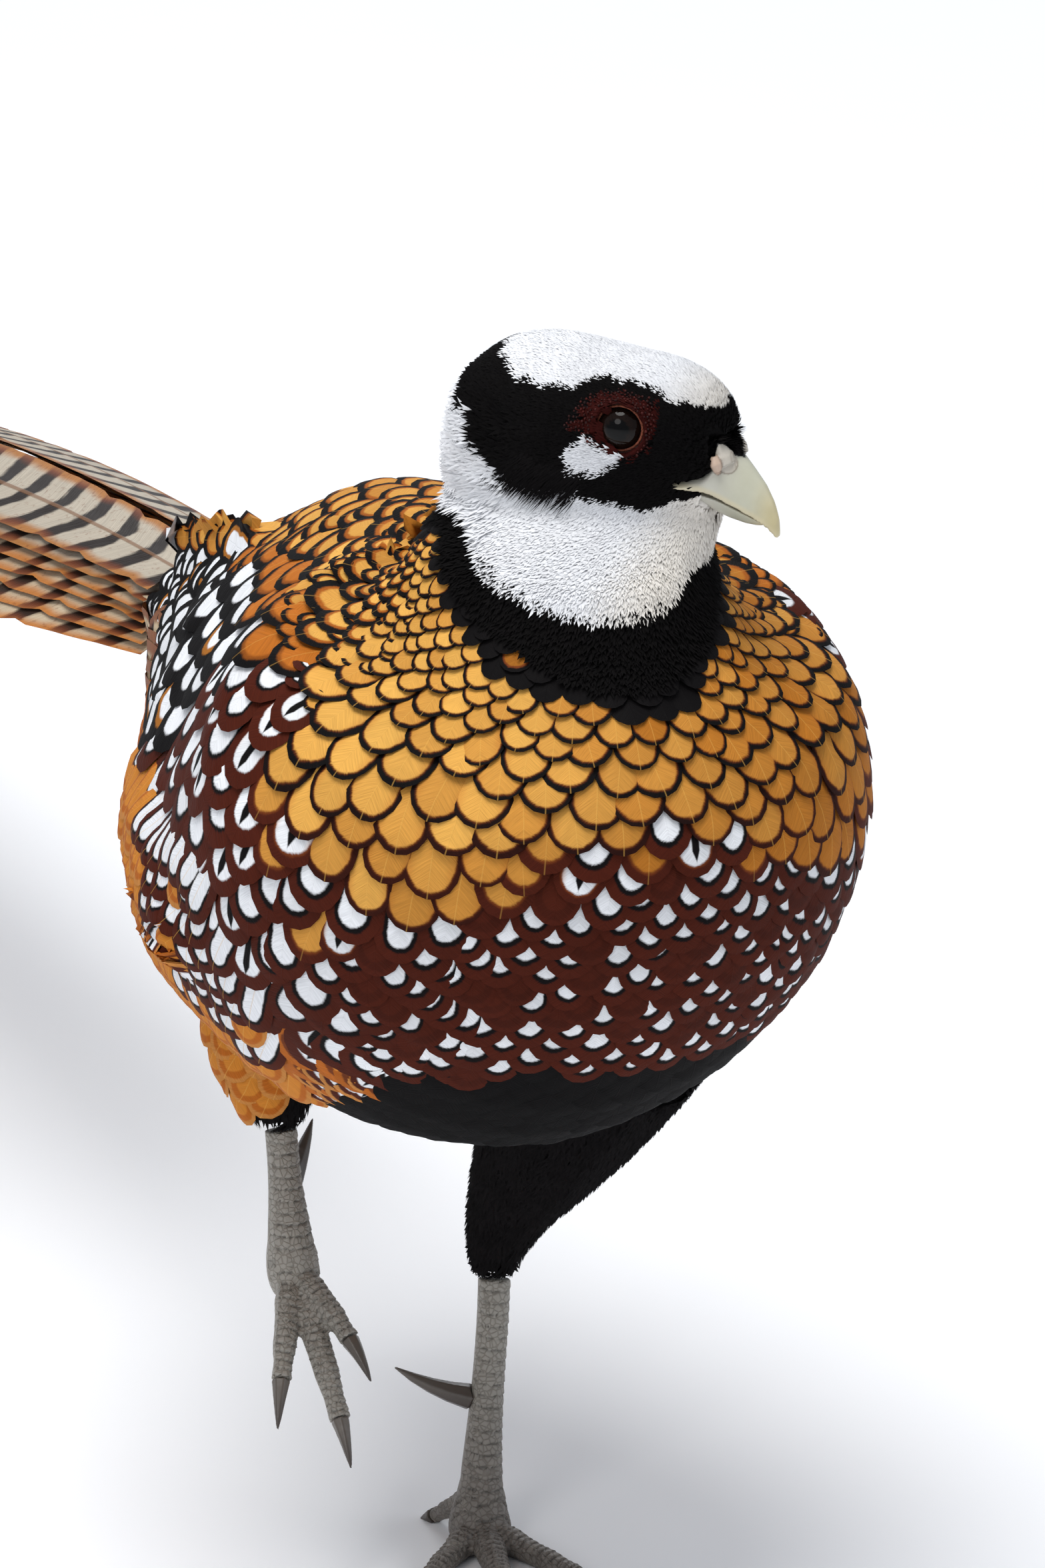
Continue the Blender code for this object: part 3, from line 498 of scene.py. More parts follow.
def leg_material(name, specular, pale):
    """Scaly skin: the colour comes from the piece, with pale clouds over it."""
    g = Graph(name, 0.5, specular)
    where = g.place()
    cells = g.node("TexVoronoi", where, feature="DISTANCE_TO_EDGE")
    cells.inputs["Scale"].default_value = 620.0
    rim = g.step(0.0, 0.16, cells.outputs[0])
    cloud = g.noise(where, 260.0, 3.0)
    fine = g.noise(where, 2600.0)
    tint = g.attribute("tint")
    dark = g.mix(tint, (0.5, 0.46, 0.42, 1.0), 1.0, "MULTIPLY")
    base = g.mix(dark, tint, g.add(0.35, g.mul(rim, 0.65)))
    base = g.mix(base, colour(150, 144, 134), g.mul(g.step(0.5, 0.75, cloud), pale))
    g.bump(g.add(rim, g.mul(fine, 0.35)), 0.45, 0.0003)
    return g.finish(base, g.add(0.38, g.mul(cloud, 0.25)))


def eye_material():
    g = Graph("eye_wet", 0.08, 0.14, Coat_Weight=0.06, Coat_Roughness=0.04)
    streak = g.noise(g.place(), 1500.0, 3.0)
    return g.finish(g.mix(g.attribute("tint"), (0.4, 0.35, 0.3, 1.0), streak, "MULTIPLY"))


def floor_material():
    g = Graph("pale_floor", 0.7, 0.2)
    where = g.place()
    base = g.mix(colour(252, 253, 255), colour(246, 248, 252), g.noise(where, 3.0, 4.0))
    g.bump(g.noise(where, 60.0, 4.0), 0.1, 0.002)
    return g.finish(base)


# Meshes
def make(name, points, tris, material, slot, sharp=None, **data):
    """A mesh object of the bird; its data are UV maps of 2 values a point, colours of 4, or single values."""
    mesh = bpy.data.meshes.new(name)
    mesh.vertices.add(len(points))
    mesh.vertices.foreach_set("co", (np.asarray(points) * MM).ravel())
    mesh.loops.add(len(tris) * 3)
    mesh.loops.foreach_set("vertex_index", tris.ravel().astype(np.int32))
    mesh.polygons.add(len(tris))
    mesh.polygons.foreach_set("loop_start", np.arange(0, len(tris) * 3, 3, dtype=np.int32))
    mesh.update(calc_edges=True)
    mesh.validate()
    mesh.polygons.foreach_set("use_smooth", np.ones(len(mesh.polygons), dtype=bool))
    for key, value in data.items():
        value = value.astype(np.float32)
        if value.ndim == 1:
            mesh.attributes.new(key, "FLOAT", "POINT").data.foreach_set("value", value)
        elif value.shape[1] == 2:
            mesh.uv_layers.new(name=key).data.foreach_set("uv", value[tris.ravel()].ravel())
        else:
            mesh.attributes.new(key, "FLOAT_COLOR", "POINT").data.foreach_set("color", value.ravel())
    if sharp:
        mesh.set_sharp_from_angle(angle=math.radians(sharp))
    mesh.materials.append(material)
    thing = bpy.data.objects.new(name, mesh)
    bpy.context.scene.collection.objects.link(thing)
    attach(thing, "root")
    return thing


# Unwrap of the skin's own shape: turn about a middle line, and length along it
SPINE = np.array([
    (22.0, -108, 318), (8, -92, 327), (-5.0, -75.5, 331), (-8, -78, 312), (-9, -80, 295), (-10, -83, 280),
    (-11, -86, 264), (-12, -74, 238), (-12, -48, 216), (-12, -8, 200), (-12, 38, 192), (-12, 82, 204),
    (-12, 122, 214), (-12, 152, 217), (-12, 400, 200)])
SPINE_RUN = np.concatenate([[0.0], np.cumsum(np.linalg.norm(np.diff(SPINE, axis=0), axis=1))])
PATCH = 0.003


def unwrap(spots):
    """Place of each spot on the unwrap, both parts from 0 to 1."""
    best = np.full(len(spots), 1e9)
    out = np.zeros((len(spots), 2))
    for a, b, run in zip(SPINE[:-1], SPINE[1:], SPINE_RUN):
        t, off, way, _ = part_line(spots, a, b)
        side = unit(np.array([1.0, 0.0, 0.0]) - way * way[0])
        turn = np.arctan2(off @ side, off @ np.cross(way, side)) / TURN + 0.5
        far = np.linalg.norm(off, axis=1)
        closer = far < best
        best = np.where(closer, far, best)
        out[closer] = np.stack([turn, (run + t) / SPINE_RUN[-1]], 1)[closer]
    return 0.01 + out * 0.98


def patches(roots, across, along):
    """Each feather's own small patch of the unwrap, at its root."""
    return np.clip(unwrap(roots)[:, None] + np.stack([across * 0.5, along - 0.5], -1) * PATCH, 0.001, 0.999)


def copies(tris, count, step):
    """Triangles of so many copies of a mesh with step points."""
    return (tris[None] + (np.arange(count) * step)[:, None, None]).reshape(-1, 3)


def blade_faces(rows, across):
    """Triangles of a closed blade of so many rows and points across, with one tip point."""
    tris = []
    last = across - 1
    for i in range(rows - 1):
        a = i * across
        for j in range(a, a + last):
            tris += [(j, j + 1, j + across + 1), (j, j + across + 1, j + across)]
        tris += [(a, a + across, a + across + last), (a, a + across + last, a + last)]
    tip = rows * across
    start = tip - across
    tris += [(start + j, start + j + 1, tip) for j in range(last)]
    tris.append((start, tip, start + last))
    tris += [(0, j + 1, j) for j in range(1, last)]
    return np.array(tris)


# Blade of a rounded feather: straight rows of a place and a width, then rows on the tip's arc, in degrees
STRAIGHT_ROWS = ((0.0, 0.55), (0.55, 0.95), (1.0, 1.0))
ARC_ROWS = (22.5, 45.0, 67.5)
ACROSS = np.array([-1.0, -0.55, 0.0, 0.55, 1.0])
BLADE_ROWS = len(STRAIGHT_ROWS) + len(ARC_ROWS)
BLADE = blade_faces(BLADE_ROWS, len(ACROSS))
BLADE_POINTS = BLADE_ROWS * len(ACROSS) + 1
FOLD_LIMIT = 0.5
PIECE_LIMIT = 190000
# Colours of a feather's parts, and its radii: edge, middle band, dark wedge, strength of the shaft's line
LOOK_KEYS = ("c_edge", "c_mid", "c_patch", "c_fringe", "shape")


class Coat:
    """Feathers gathered for one group of pieces."""

    def __init__(self):
        self.parts = []
        self.count = 0

    def add(self, points, tris, **data):
        self.parts.append(dict(data, points=points, tris=tris + self.count))
        self.count += len(points)

    def build(self, name, material, slot):
        """Makes the pieces, none with many more triangles than the limit, and none that cuts a feather."""
        data = {key: np.concatenate([part[key] for part in self.parts]) for key in self.parts[0]}
        points = data.pop("points")
        tris = data.pop("tris")
        pieces = -(-len(tris) // PIECE_LIMIT)
        size = -(-len(tris) // pieces)
        made = []
        start = 0
        while start < len(tris):
            stop = min(start + size, len(tris))
            high = tris[start:stop].max()
            while stop < len(tris) and tris[stop].min() <= high:
                high = max(high, tris[stop].max())
                stop += 1
            low = tris[start:stop].min()
            own = {key: value[low:high + 1] for key, value in data.items()}
            title = name if pieces == 1 else f"{name}_{len(made) + 1}"
            faces = tris[start:stop] - low
            made.append(make(title, points[low:high + 1], faces, material, slot, 60.0, **own))
            start = stop
        return made


def lay(coat, surface, tips, ways, length, half, low, high, roundness, camber, looks, curl=0.0, seed=1):
    """Lays rounded feathers on a surface: tips and lie, sizes in mm, low and high above the surface."""
    count = len(tips)
    length, half, low, high, camber = (np.broadcast_to(value, count)[:, None]
                                       for value in (length, half, low, high, camber))
    normals = surface.nearest(tips)[1]
    ways = flattened(ways, normals)
    sides = np.cross(ways, normals)
    start = np.clip(1.0 - half * roundness / length, 0.12, 0.9)
    rows = [(start * place, wide) for place, wide in STRAIGHT_ROWS]
    rows += [(start + (1.0 - start) * math.sin(turn), math.cos(turn)) for turn in np.radians(ARC_ROWS)]
    us = np.concatenate([np.repeat(u, len(ACROSS), 1) for u, _ in rows] + [np.ones((count, 1))], 1)
    xs = np.tile(np.concatenate([ACROSS * wide for _, wide in rows] + [[0.0]]), (count, 1))
    spots = (tips[:, None] - ways[:, None] * ((1.0 - us) * length)[..., None]
             + sides[:, None] * (xs * half)[..., None])
    places, ups = surface.nearest(spots.reshape(-1, 3))
    # a feather that spans a fold of the surface is left out
    shift = (places.reshape(spots.shape) - spots)[:, :-1].reshape(count, BLADE_ROWS, len(ACROSS), 3)
    jumps = [np.linalg.norm(np.diff(shift, axis=axis), axis=3).max(axis=(1, 2)) / size[:, 0]
             for axis, size in ((2, half), (1, length))]
    flat = np.maximum(*jumps) < FOLD_LIMIT
    rise = low + (high - low) * us - camber * xs ** 2 - curl * np.maximum(us - 0.75, 0) ** 2 * 16
    points = (places + ups * rise.reshape(-1)[:, None]).reshape(spots.shape)
    vane = np.stack([xs, (us - start) * (length / (half * roundness))], -1)
    bakes = patches(tips - ways * length * 0.5, xs, us)
    seeds = np.random.default_rng(seed).random(count)
    looks = {key: np.repeat(value[flat], BLADE_POINTS, axis=0) for key, value in looks.items()}
    coat.add(points[flat].reshape(-1, 3), copies(BLADE, int(flat.sum()), BLADE_POINTS),
             vane=vane[flat].reshape(-1, 2), OFBake=bakes[flat].reshape(-1, 2),
             seed=np.repeat(seeds[flat], BLADE_POINTS), **looks)


# The lie of the body feathers, traced from the neck to the tail
NECK_POLE = np.array([-8.0, -79.0, 316.0])
TAIL_POLE = np.array([-12.0, 205.0, 214.0])
STRAND_START = Vector((-8.5, -79.0, 311.5))
STRANDS = 320
STRAND_STEP = 1.6
STRAND_STEPS = 340
STRAND_END_Y = 149.0


def lie(spots):
    """Way that feathers point at these places, before it is laid flat."""
    away = spots - NECK_POLE
    away = away / (away * away).sum(1)[:, None]
    back = TAIL_POLE - spots
    back = back / (back * back).sum(1)[:, None]
    x, y, z = spots.T
    rear = smooth(15.0, 90.0, y)
    low = 1.0 - smooth(165.0, 200.0, z)
    pull = 1.3 + 3.2 * np.maximum(rear, low)
    droop = smooth(-75.0, -50.0, y) * smooth(26.0, 42.0, np.abs(x - MID_X)) * (1.0 - smooth(272.0, 286.0, z))
    fall = (0.014 + 0.024 * droop) * (1.0 - rear) * (1.0 - low)
    return away + back * pull[:, None] - np.stack([np.zeros_like(x), np.zeros_like(x), fall], 1)


def trace(surface):
    """Strands from the neck to the tail: places and ways of each step."""
    spots = []
    for turn in np.arange(STRANDS) / STRANDS * TURN:
        way = Vector((math.sin(turn), -math.cos(turn), -0.4 * max(math.cos(turn), 0.0)))
        hit = surface.tree.ray_cast(STRAND_START, way)[0]
        spots.append(tuple(hit if hit is not None else STRAND_START + way * 35.0))
    spots, normals = surface.nearest(np.array(spots))
    places = []
    ways = []
    for _ in range(STRAND_STEPS):
        way = flattened(lie(spots), normals)
        places.append(spots)
        ways.append(way)
        done = (spots[:, 1] > STRAND_END_Y)[:, None]
        moved, turned = surface.nearest(spots + way * STRAND_STEP)
        spots = np.where(done, spots, moved)
        normals = np.where(done, normals, turned)
    return np.array(places), np.array(ways)


def body_sizes(spots):
    """Row step and feather width at places on the body, in mm."""
    x, y, z = spots.T
    side = np.abs(x - MID_X)
    far = ring_distance(spots)
    clear = smooth(52.0, 84.0, far)
    net = 1.0 - smooth(226.0, 244.0, z + 0.22 * side)
    shoulder = smooth(34.0, 60.0, side) * smooth(205.0, 235.0, z)
    beside = smooth(-108.0, -92.0, y) * smooth(52.0, 66.0, side)
    scapular = smooth(-72.0, -50.0, y) * smooth(24.0, 40.0, side) * smooth(208.0, 226.0, z) * clear
    back = smooth(-80.0, -45.0, y) * (1.0 - smooth(24.0, 40.0, side)) * smooth(222.0, 240.0, z) * clear
    rump = smooth(72.0, 108.0, y)
    step = 7.2
    wide = 12.6
    for share, long, across in ((net, 5.0, 11.6), (shoulder, 11.5, 12.5), (beside, 9.8, 14.5),
                                (scapular, 13.0, 18.5), (back, 10.5, 13.0), (rump, 6.5, 8.5)):
        step = mixed(step, long, share)
        wide = mixed(wide, across, share)
    neck = smooth(10.0, 50.0, far - 28.0)
    return 3.6 + (step - 3.6) * neck, 6.8 + (wide - 6.8) * neck


def paint(spots, seed):
    """Colours and pattern of feathers at these places, for the shader."""
    draw = np.random.default_rng(seed)
    count = len(spots)
    x, y, z = spots.T
    side = np.abs(x - MID_X)
    zone = zones(spots)
    looks = {key: np.zeros((count, 4)) for key in LOOK_KEYS}
    r = draw.random(count)

    def put(mask, *values):
        for key, value in zip(LOOK_KEYS, values):
            looks[key][mask] = np.broadcast_to(value, (count, 4))[mask]

    # painted light: the gold is paler higher up and much paler on the bird's right side (-X), with random
    # tone on top; the warm fringe colour mixed from it carries the same painted light
    lit = smooth(225.0, 290.0, z) * 0.2 + (1.0 - smooth(-62.0, 10.0, x)) * 0.5
    gold = blend(GOLD, PALE_GOLD, np.clip(lit + (r - 0.5) * 0.5, 0, 1))
    warm = gold * 0.66 + ORANGE * 0.34
    put(np.ones(count, bool), BLACK * 0.4, BLACK * 0.5, BLACK * 0.7, BLACK * 0.7, (0.9, 0.8, 0.0, 0.0))
    border = np.where(side > 55, 0.82, 0.85) + (draw.random(count) - 0.5) * 0.05
    radii = np.stack([border, border - 0.05, np.zeros(count), np.full(count, 0.3)], 1)
    brown = np.clip((1.0 - smooth(238.0, 262.0, z)) * (y < -60), 0, 1)[:, None]
    put(zone["gold"], BLACK * (1 - brown * 0.8) + MAROON * 0.5 * brown, CHESTNUT * 0.8, gold, warm, radii)
    cape = zone["gold"] & (y > -72) & (z > 240)
    put(cape, BLACK, ORANGE * 0.8, gold, warm, (0.72, 0.60, 0.0, 0.2))
    put(zone["ring"], BLACK, BLACK, BLACK, BLACK, (0.9, 0.8, 0.0, 0.0))
    spare = zone["ring"] & (r > 0.965) & (z < ring_edge(y) + 9)
    put(spare, BLACK, CHESTNUT, GOLD * 0.7, ORANGE * 0.6, (0.8, 0.7, 0.0, 0.0))
    put(zone["scapular"], BLACK, BLACK, WHITE, WHITE, (0.62, 0.57, 0.0, 0.0))
    put(zone["scapular"] & (r > 0.82), BLACK, GOLD * 0.8, WHITE, GOLD, (0.66, 0.46, 0.0, 0.0))
    put(zone["shoulder"], BLACK, ORANGE * 0.6, ORANGE * 0.75 + GOLD * 0.35, ORANGE, (0.76, 0.66, 0.0, 0.2))
    on_breast = zone["net"] & (y < -84)
    on_side = zone["net"] & (y >= -84)
    put(on_breast, MAROON, BLACK, WHITE, WHITE, (0.64, 0.47, 0.0, 0.0))
    put(on_breast & (r < 0.24), MAROON, MAROON * 0.8, MAROON, CHESTNUT, (0.8, 0.5, 0.0, 0.0))
    high = on_breast & (z > np.interp(side, (0, 30, 60, 75), (240, 232, 217, 209)))
    put(high & (r > 0.88), MAROON, CHESTNUT, WHITE, GOLD, (0.74, 0.66, 0.45, 0.0))
    put(high & (r < 0.4), MAROON, CHESTNUT, gold, warm, (0.72, 0.64, 0.0, 0.2))
    put(on_side, MAROON, MAROON, WHITE, FRINGE, (0.62, 0.55, 0.42, 0.0))
    put(on_side & (r < 0.45), MAROON, BLACK, WHITE, CHESTNUT, (0.60, 0.48, 0.0, 0.0))
    put(zone["flank"], BUFF, MAROON, WHITE, FRINGE, (0.80, 0.52, 0.3, 0.0))
    buff = zone["flank"] & (r > 0.5 - 0.5 * smooth(-40.0, -10.0, y))
    put(buff, ORANGE, CHESTNUT, FRINGE, BUFF, (0.70, 0.45, 0.0, 0.0))
    jitter = 1.0 + (draw.random((count, 1)) - 0.5) * 0.16
    for key in LOOK_KEYS[:4]:
        looks[key] = np.clip(looks[key] * jitter, 0, 1)
    return looks


def body_rows(surface):
    """Tips, ways, row steps and widths of the body feathers, in staggered rows down the strands."""
    places, ways = trace(surface)
    sizes = np.stack(body_sizes(places.reshape(-1, 3)), 1).reshape(len(places), STRANDS, 2)
    run = np.zeros((len(places), STRANDS))
    moved = np.linalg.norm(np.diff(places, axis=0), axis=2)
    run[1:] = np.cumsum(moved / sizes[:-1, :, 0], axis=0)
    ended = run.max(axis=0)
    after = np.roll(np.arange(STRANDS), -1)
    found = []
    for row in range(1, int(ended.max()) + 1):
        # place, way and sizes where the row crosses each strand
        cross = np.zeros((STRANDS, 8))
        good = ended > row + 0.05
        for k in np.nonzero(good)[0]:
            i = max(int(np.searchsorted(run[:, k], row)) - 1, 0)
            gap = run[i + 1, k] - run[i, k]
            f = (row - run[i, k]) / gap if gap > 1e-9 else 0.0
            cross[k] = *mixed(places[i, k], places[i + 1, k], f), *ways[i, k], *sizes[i, k]
        spacing = np.linalg.norm(cross[after, :3] - cross[:, :3], axis=1)
        share = np.where(good & good[after], spacing / np.maximum(cross[:, 7], 1.0), 0.0)
        total = np.concatenate([[0.0], np.cumsum(share)])
        whole = max(int(round(total[-1])), 1)
        for m in (np.arange(whole) + 0.5 * (row % 2) + 0.02) * total[-1] / whole:
            k = min(int(np.searchsorted(total, m, side="right")) - 1, STRANDS - 1)
            if share[k] > 0:
                f = (m - total[k]) / share[k]
                found.append(np.append(mixed(cross[k, :6], cross[after[k], :6], f), cross[k, 6:]))
    found = np.array(found)
    return found[:, :3], unit(found[:, 3:6]), found[:, 6], found[:, 7]


# Skin and surfaces
FLESH = ("torso", "neck", "head", "thigh_left", "thigh_right")
UPPER = ("torso", "neck", "head", "wing_left", "wing_right")
EYE_NODES = ("eye_left", "eye_right")
COAT_DEPTH = 3.4
COAT_LOW = 0.4 - COAT_DEPTH
skin_points, skin_tris = melted(FLESH + EYE_NODES, 0.25, 1.5, 12)
coat_surface = Surface(*melted(UPPER[:3] + EYE_NODES + UPPER[3:], 0.25, 1.5, 12))
body_surface = Surface(*melted(UPPER, 5.0, 2.2, 16))

EYES = {"left": np.array([17.1, -81.6, 338.7]), "right": np.array([-0.4, -98.0, 338.7])}
EYE_RADIUS = 7.4


def eye_way(side):
    """The way that an eye looks."""
    return unit(LEFTWARD * (1.0 if side == "left" else -1.0) + FORWARD * 0.16 + UPWARD * 0.1)


def eye_distance(spots):
    """Distance from the nearer eye's outward axis."""
    found = []
    for side, centre in EYES.items():
        out = eye_way(side)
        away = spots - centre
        level = away @ out
        found.append(np.where(level > 0, np.linalg.norm(away - level[:, None] * out, axis=1), 99.0))
    return np.minimum(*found)


def coat_depth(spots):
    """How deep the skin lies under the tips of the coat, in mm."""
    along, _, up = head_frame(spots)
    on_head = smooth(300.0, 322.0, spots[:, 2])
    eye = eye_distance(spots)
    depth = mixed(COAT_DEPTH, 1.5, on_head)
    depth = mixed(depth, 0.6, smooth(24.0, 40.0, along) * on_head)
    depth = mixed(depth, 0.35, (1.0 - smooth(8.0, 12.0, eye)) * on_head)
    depth = depth + 3.2 * (1.0 - smooth(5.7, 6.5, eye)) * on_head + 2.0 * on_head * inside(along, up, BARE)
    return mixed(depth, 1.6, 1.0 - smooth(95.0, 140.0, spots[:, 2]))


def face_marks(spots):
    """True on the white cheek patch, and on the red skin outside it."""
    along, left, up = head_frame(spots)
    cheek = inside(along, up, CHEEK) & (np.abs(left) > 10)
    return cheek, inside(along, up, RED_SKIN) & (np.abs(left) > 7) & ~cheek


def head_tint(spots, seed):
    """Colours of head and neck feathers at these places."""
    draw = np.random.default_rng(seed)
    along, _, up = head_frame(spots)
    wob = noise(spots, 9.0, 11) * 0.7
    mask = inside(along + wob, up + wob, MASK) & (spots[:, 2] > 305)
    cheek, red = face_marks(spots)
    tint = blend(WHITE, CREAM, smooth(22, 40, along) * 0.4)
    tint[mask] = BLACK * 0.6
    tint[red] = colour(50, 12, 9)
    tint[cheek] = WHITE
    tint[spots[:, 2] < white_edge(spots[:, 1])] = BLACK * 0.6
    return np.clip(tint * (0.93 + 0.14 * draw.random((len(spots), 1))), 0, 1)


def skin_tint(spots):
    """The same markings on the skin as on the coat over it."""
    zone = zones(spots)
    tint = np.tile(BLACK, (len(spots), 1))
    tones = {"gold": GOLD * 0.8, "shoulder": ORANGE * 0.7, "net": MAROON, "flank": CHESTNUT}
    for name, tone in tones.items():
        tint[zone[name]] = tone
    high = spots[:, 2] > white_edge(spots[:, 1])
    tint[high] = head_tint(spots[high], 3)
    tint[spots[:, 2] < 130] = BLACK
    return tint


feather_scale = scale_feather_material()
feather_tuft = tuft_material()
feather_long = long_feather_material()

sunk_points = skin_points - point_normals(skin_points, skin_tris) * coat_depth(skin_points)[:, None]
skin = make("skin", sunk_points, skin_tris, skin_material(), "gold_feather", OFBake=unwrap(skin_points),
            tint=skin_tint(skin_points))
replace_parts(skin, *FLESH)


def scattered(surface, keep, spacing, tries, seed):
    """Seeded places on a surface where keep is true, at least the spacing apart."""
    draw = np.random.default_rng(seed)
    a, b, c = (surface.points[surface.tris[:, k]] for k in range(3))
    area = np.linalg.norm(np.cross(b - a, c - a), axis=1) * keep((a + b + c) / 3)
    pick = draw.choice(len(area), size=tries, p=area / area.sum())
    u, v = draw.random((2, tries))
    over = u + v > 1
    u = np.where(over, 1 - u, u)[:, None]
    v = np.where(over, 1 - v, v)[:, None]
    spots = a[pick] + (b[pick] - a[pick]) * u + (c[pick] - a[pick]) * v
    taken = {}
    out = []
    for spot in spots.tolist():
        i, j, k = (int(s // spacing) for s in spot)
        near = (p for di in (-1, 0, 1) for dj in (-1, 0, 1) for dk in (-1, 0, 1)
                for p in taken.get((i + di, j + dj, k + dk), ()))
        if all((p[0] - spot[0]) ** 2 + (p[1] - spot[1]) ** 2 + (p[2] - spot[2]) ** 2 > spacing ** 2
               for p in near):
            taken.setdefault((i, j, k), []).append(spot)
            out.append(spot)
    return np.array(out)


def in_ring(spots):
    """The velvety black ring round the neck, a little above its scaly lower edge."""
    return over_ring_edge(spots, 3.0)


# Body feathers
rows = body_rows(body_surface)
draw = np.random.default_rng(17)
keep = ~in_ring(rows[0]) & (rows[0][:, 2] < white_edge(rows[0][:, 1]) - 0.8)
tips, ways, row_step, row_wide = (value[keep] for value in rows)
count = len(tips)
sideways = np.cross(ways, body_surface.nearest(tips)[1])
tips = tips + sideways * (draw.normal(size=count) * 0.05 * row_wide)[:, None]
tips = tips + ways * (draw.normal(size=count) * 0.09 * row_step)[:, None]
ways = unit(ways + sideways * (draw.normal(size=count) * 0.10)[:, None])
length = np.minimum(row_step * 2.5 + 5.0, 0.30 * ring_distance(tips))
half = row_wide * 0.61 * (1.0 + draw.normal(size=count) * 0.07)
body = Coat()
lay(body, body_surface, tips, ways, length, half, COAT_LOW, 0.25 + draw.random(count) * 0.35, 1.15,
    0.45 + 0.02 * row_wide, paint(tips - ways * (row_step * 0.4)[:, None], 23), curl=0.25, seed=31)

# Smaller feathers under the rows, seen where the rows part near the neck
under = scattered(body_surface, lambda s: ~in_ring(s) & (s[:, 1] > -85) & (s[:, 2] > 262)
                  & (ring_distance(s) < 76.0), 5.0, 6000, 33)
count = len(under)
lay(body, body_surface, under, lie(under), 11.0, 4.0 + draw.random(count), COAT_LOW,
    -0.35 + 0.3 * draw.random(count), 1.15, 0.6, paint(under, 34), seed=35)
body.build("body_plumage", feather_scale, "gold_feather")

# Tufts: small soft feathers of a few prongs
PRONG = np.array([(0, 3, 4), (0, 4, 1), (0, 2, 5), (0, 5, 3), (1, 4, 5), (1, 5, 2), (0, 1, 2),
                  (3, 6, 4), (3, 5, 6), (4, 6, 5)])
PRONG_POINTS = 7
PRONG_PLACES = (0, 0, 0, 0.5, 0.5, 0.5, 1.0)


def tufts(name, surface, tips, ways, length, half, low, high, tints, slot, prongs=5, fan=0.5, lift=0.0,
          seed=1):
    """A piece of small feathers whose tips, lie, sizes and colours are given."""
    count = len(tips)
    draw = np.random.default_rng(seed)
    length, half, low, high = (np.broadcast_to(value, count) for value in (length, half, low, high))
    normals = surface.nearest(tips)[1]
    ways = flattened(ways, normals)
    sides = np.cross(ways, normals)
    roots = tips - ways * length[:, None]
    spots = []
    rises = []
    crosses = []
    for k in range(prongs):
        part = k / (prongs - 1) - 0.5
        turn = part * 2 * fan + draw.normal(size=count) * 0.06
        reach = length * (1.0 - 0.3 * abs(part)) * (1.0 + draw.normal(size=count) * 0.06)
        out = ways * np.cos(turn)[:, None] + sides * np.sin(turn)[:, None]
        over = np.cross(out, normals)
        for place, wide in ((0.0, 0.5), (0.55, 0.42)):
            for x in (-1.0, 1.0, 0.0):
                spots.append(roots + out * (reach * place)[:, None] + over * (half * wide * x)[:, None])
                rises.append(low + (high - low) * place + (half * 0.06 if x == 0.0 else 0.0))
                crosses.append(0.4 * x + turn)
        spots.append(roots + out * reach[:, None])
        rises.append(high + lift * (0.6 + 0.8 * draw.random(count)))
        crosses.append(turn)
    places, ups = surface.nearest(np.stack(spots, 1).reshape(-1, 3))
    points = places + ups * np.stack(rises, 1).reshape(-1)[:, None]
    each = PRONG_POINTS * prongs
    tris = copies(copies(PRONG, prongs, PRONG_POINTS), count, each)
    bakes = patches(roots, np.stack(crosses, 1), np.tile(np.tile(PRONG_PLACES, prongs), (count, 1)))
    return make(name, points, tris, feather_tuft, slot, 50.0, OFBake=bakes.reshape(-1, 2),
                tint=np.repeat(tints, each, axis=0))


def soot(draw, count):
    """Blacks that differ a little from tuft to tuft."""
    return np.clip(BLACK * (0.4 + 0.4 * draw.random((count, 1))), 0, 1)


def head_lie(spots):
    """Feathers of head and neck point away from the bill, and down the neck."""
    away = unit(spots - head_point(47.0, 0.0, 2.0))
    down = (1.0 - smooth(302.0, 326.0, spots[:, 2]))[:, None]
    return away + np.array([0.0, 0.0, -1.3]) * down


def on_head(spots):
    along, _, up = head_frame(spots)
    return ((spots[:, 2] > white_edge(spots[:, 1]) + 0.5) & (along < 41.9) & (eye_distance(spots) > 6.7)
            & ~inside(along, up, BARE))


def on_face(spots):
    along, _, up = head_frame(spots)
    return (along > -1) & (up > -12) & (up < 25)


tips = np.concatenate([scattered(coat_surface, lambda s: on_head(s) & ~on_face(s), 1.15, 70000, 51),
                       scattered(coat_surface, lambda s: on_head(s) & on_face(s), 0.85, 60000, 50)])
ways = unit(head_lie(tips))
count = len(tips)
draw = np.random.default_rng(52)
near_bill = smooth(22.0, 40.0, head_frame(tips)[0])
low_neck = 1.0 - smooth(300.0, 318.0, tips[:, 2])
length = 4.2 - 1.7 * near_bill + 2.2 * low_neck + draw.normal(size=count) * 0.25
root_along, _, root_up = head_frame(tips - ways * length[:, None])
keep = ~(face_marks(tips)[1] & (draw.random(count) > 0.4)) & ~inside(root_along, root_up, BARE)
tips, ways, length, near_bill, low_neck = (value[keep] for value in (tips, ways, length, near_bill, low_neck))
count = len(tips)
face = on_face(tips)
along, _, up = head_frame(tips)
nape = smooth(-4.0, -16.0, along) * (1.0 - smooth(2.0, 12.0, up)) * smooth(298.0, 310.0, tips[:, 2])
half = 1.45 - 0.5 * near_bill + 0.35 * low_neck - 0.4 * face
low = -(0.8 - 0.3 * near_bill + 0.5 * low_neck)
high = 0.2 + 0.10 * draw.random(count) + 0.3 * low_neck + 2.6 * nape * draw.random(count)
length = length - 0.8 * face + 2.4 * nape
ways = ways + draw.normal(size=(count, 3)) * 0.06
order = np.argsort(tips[:, 2])
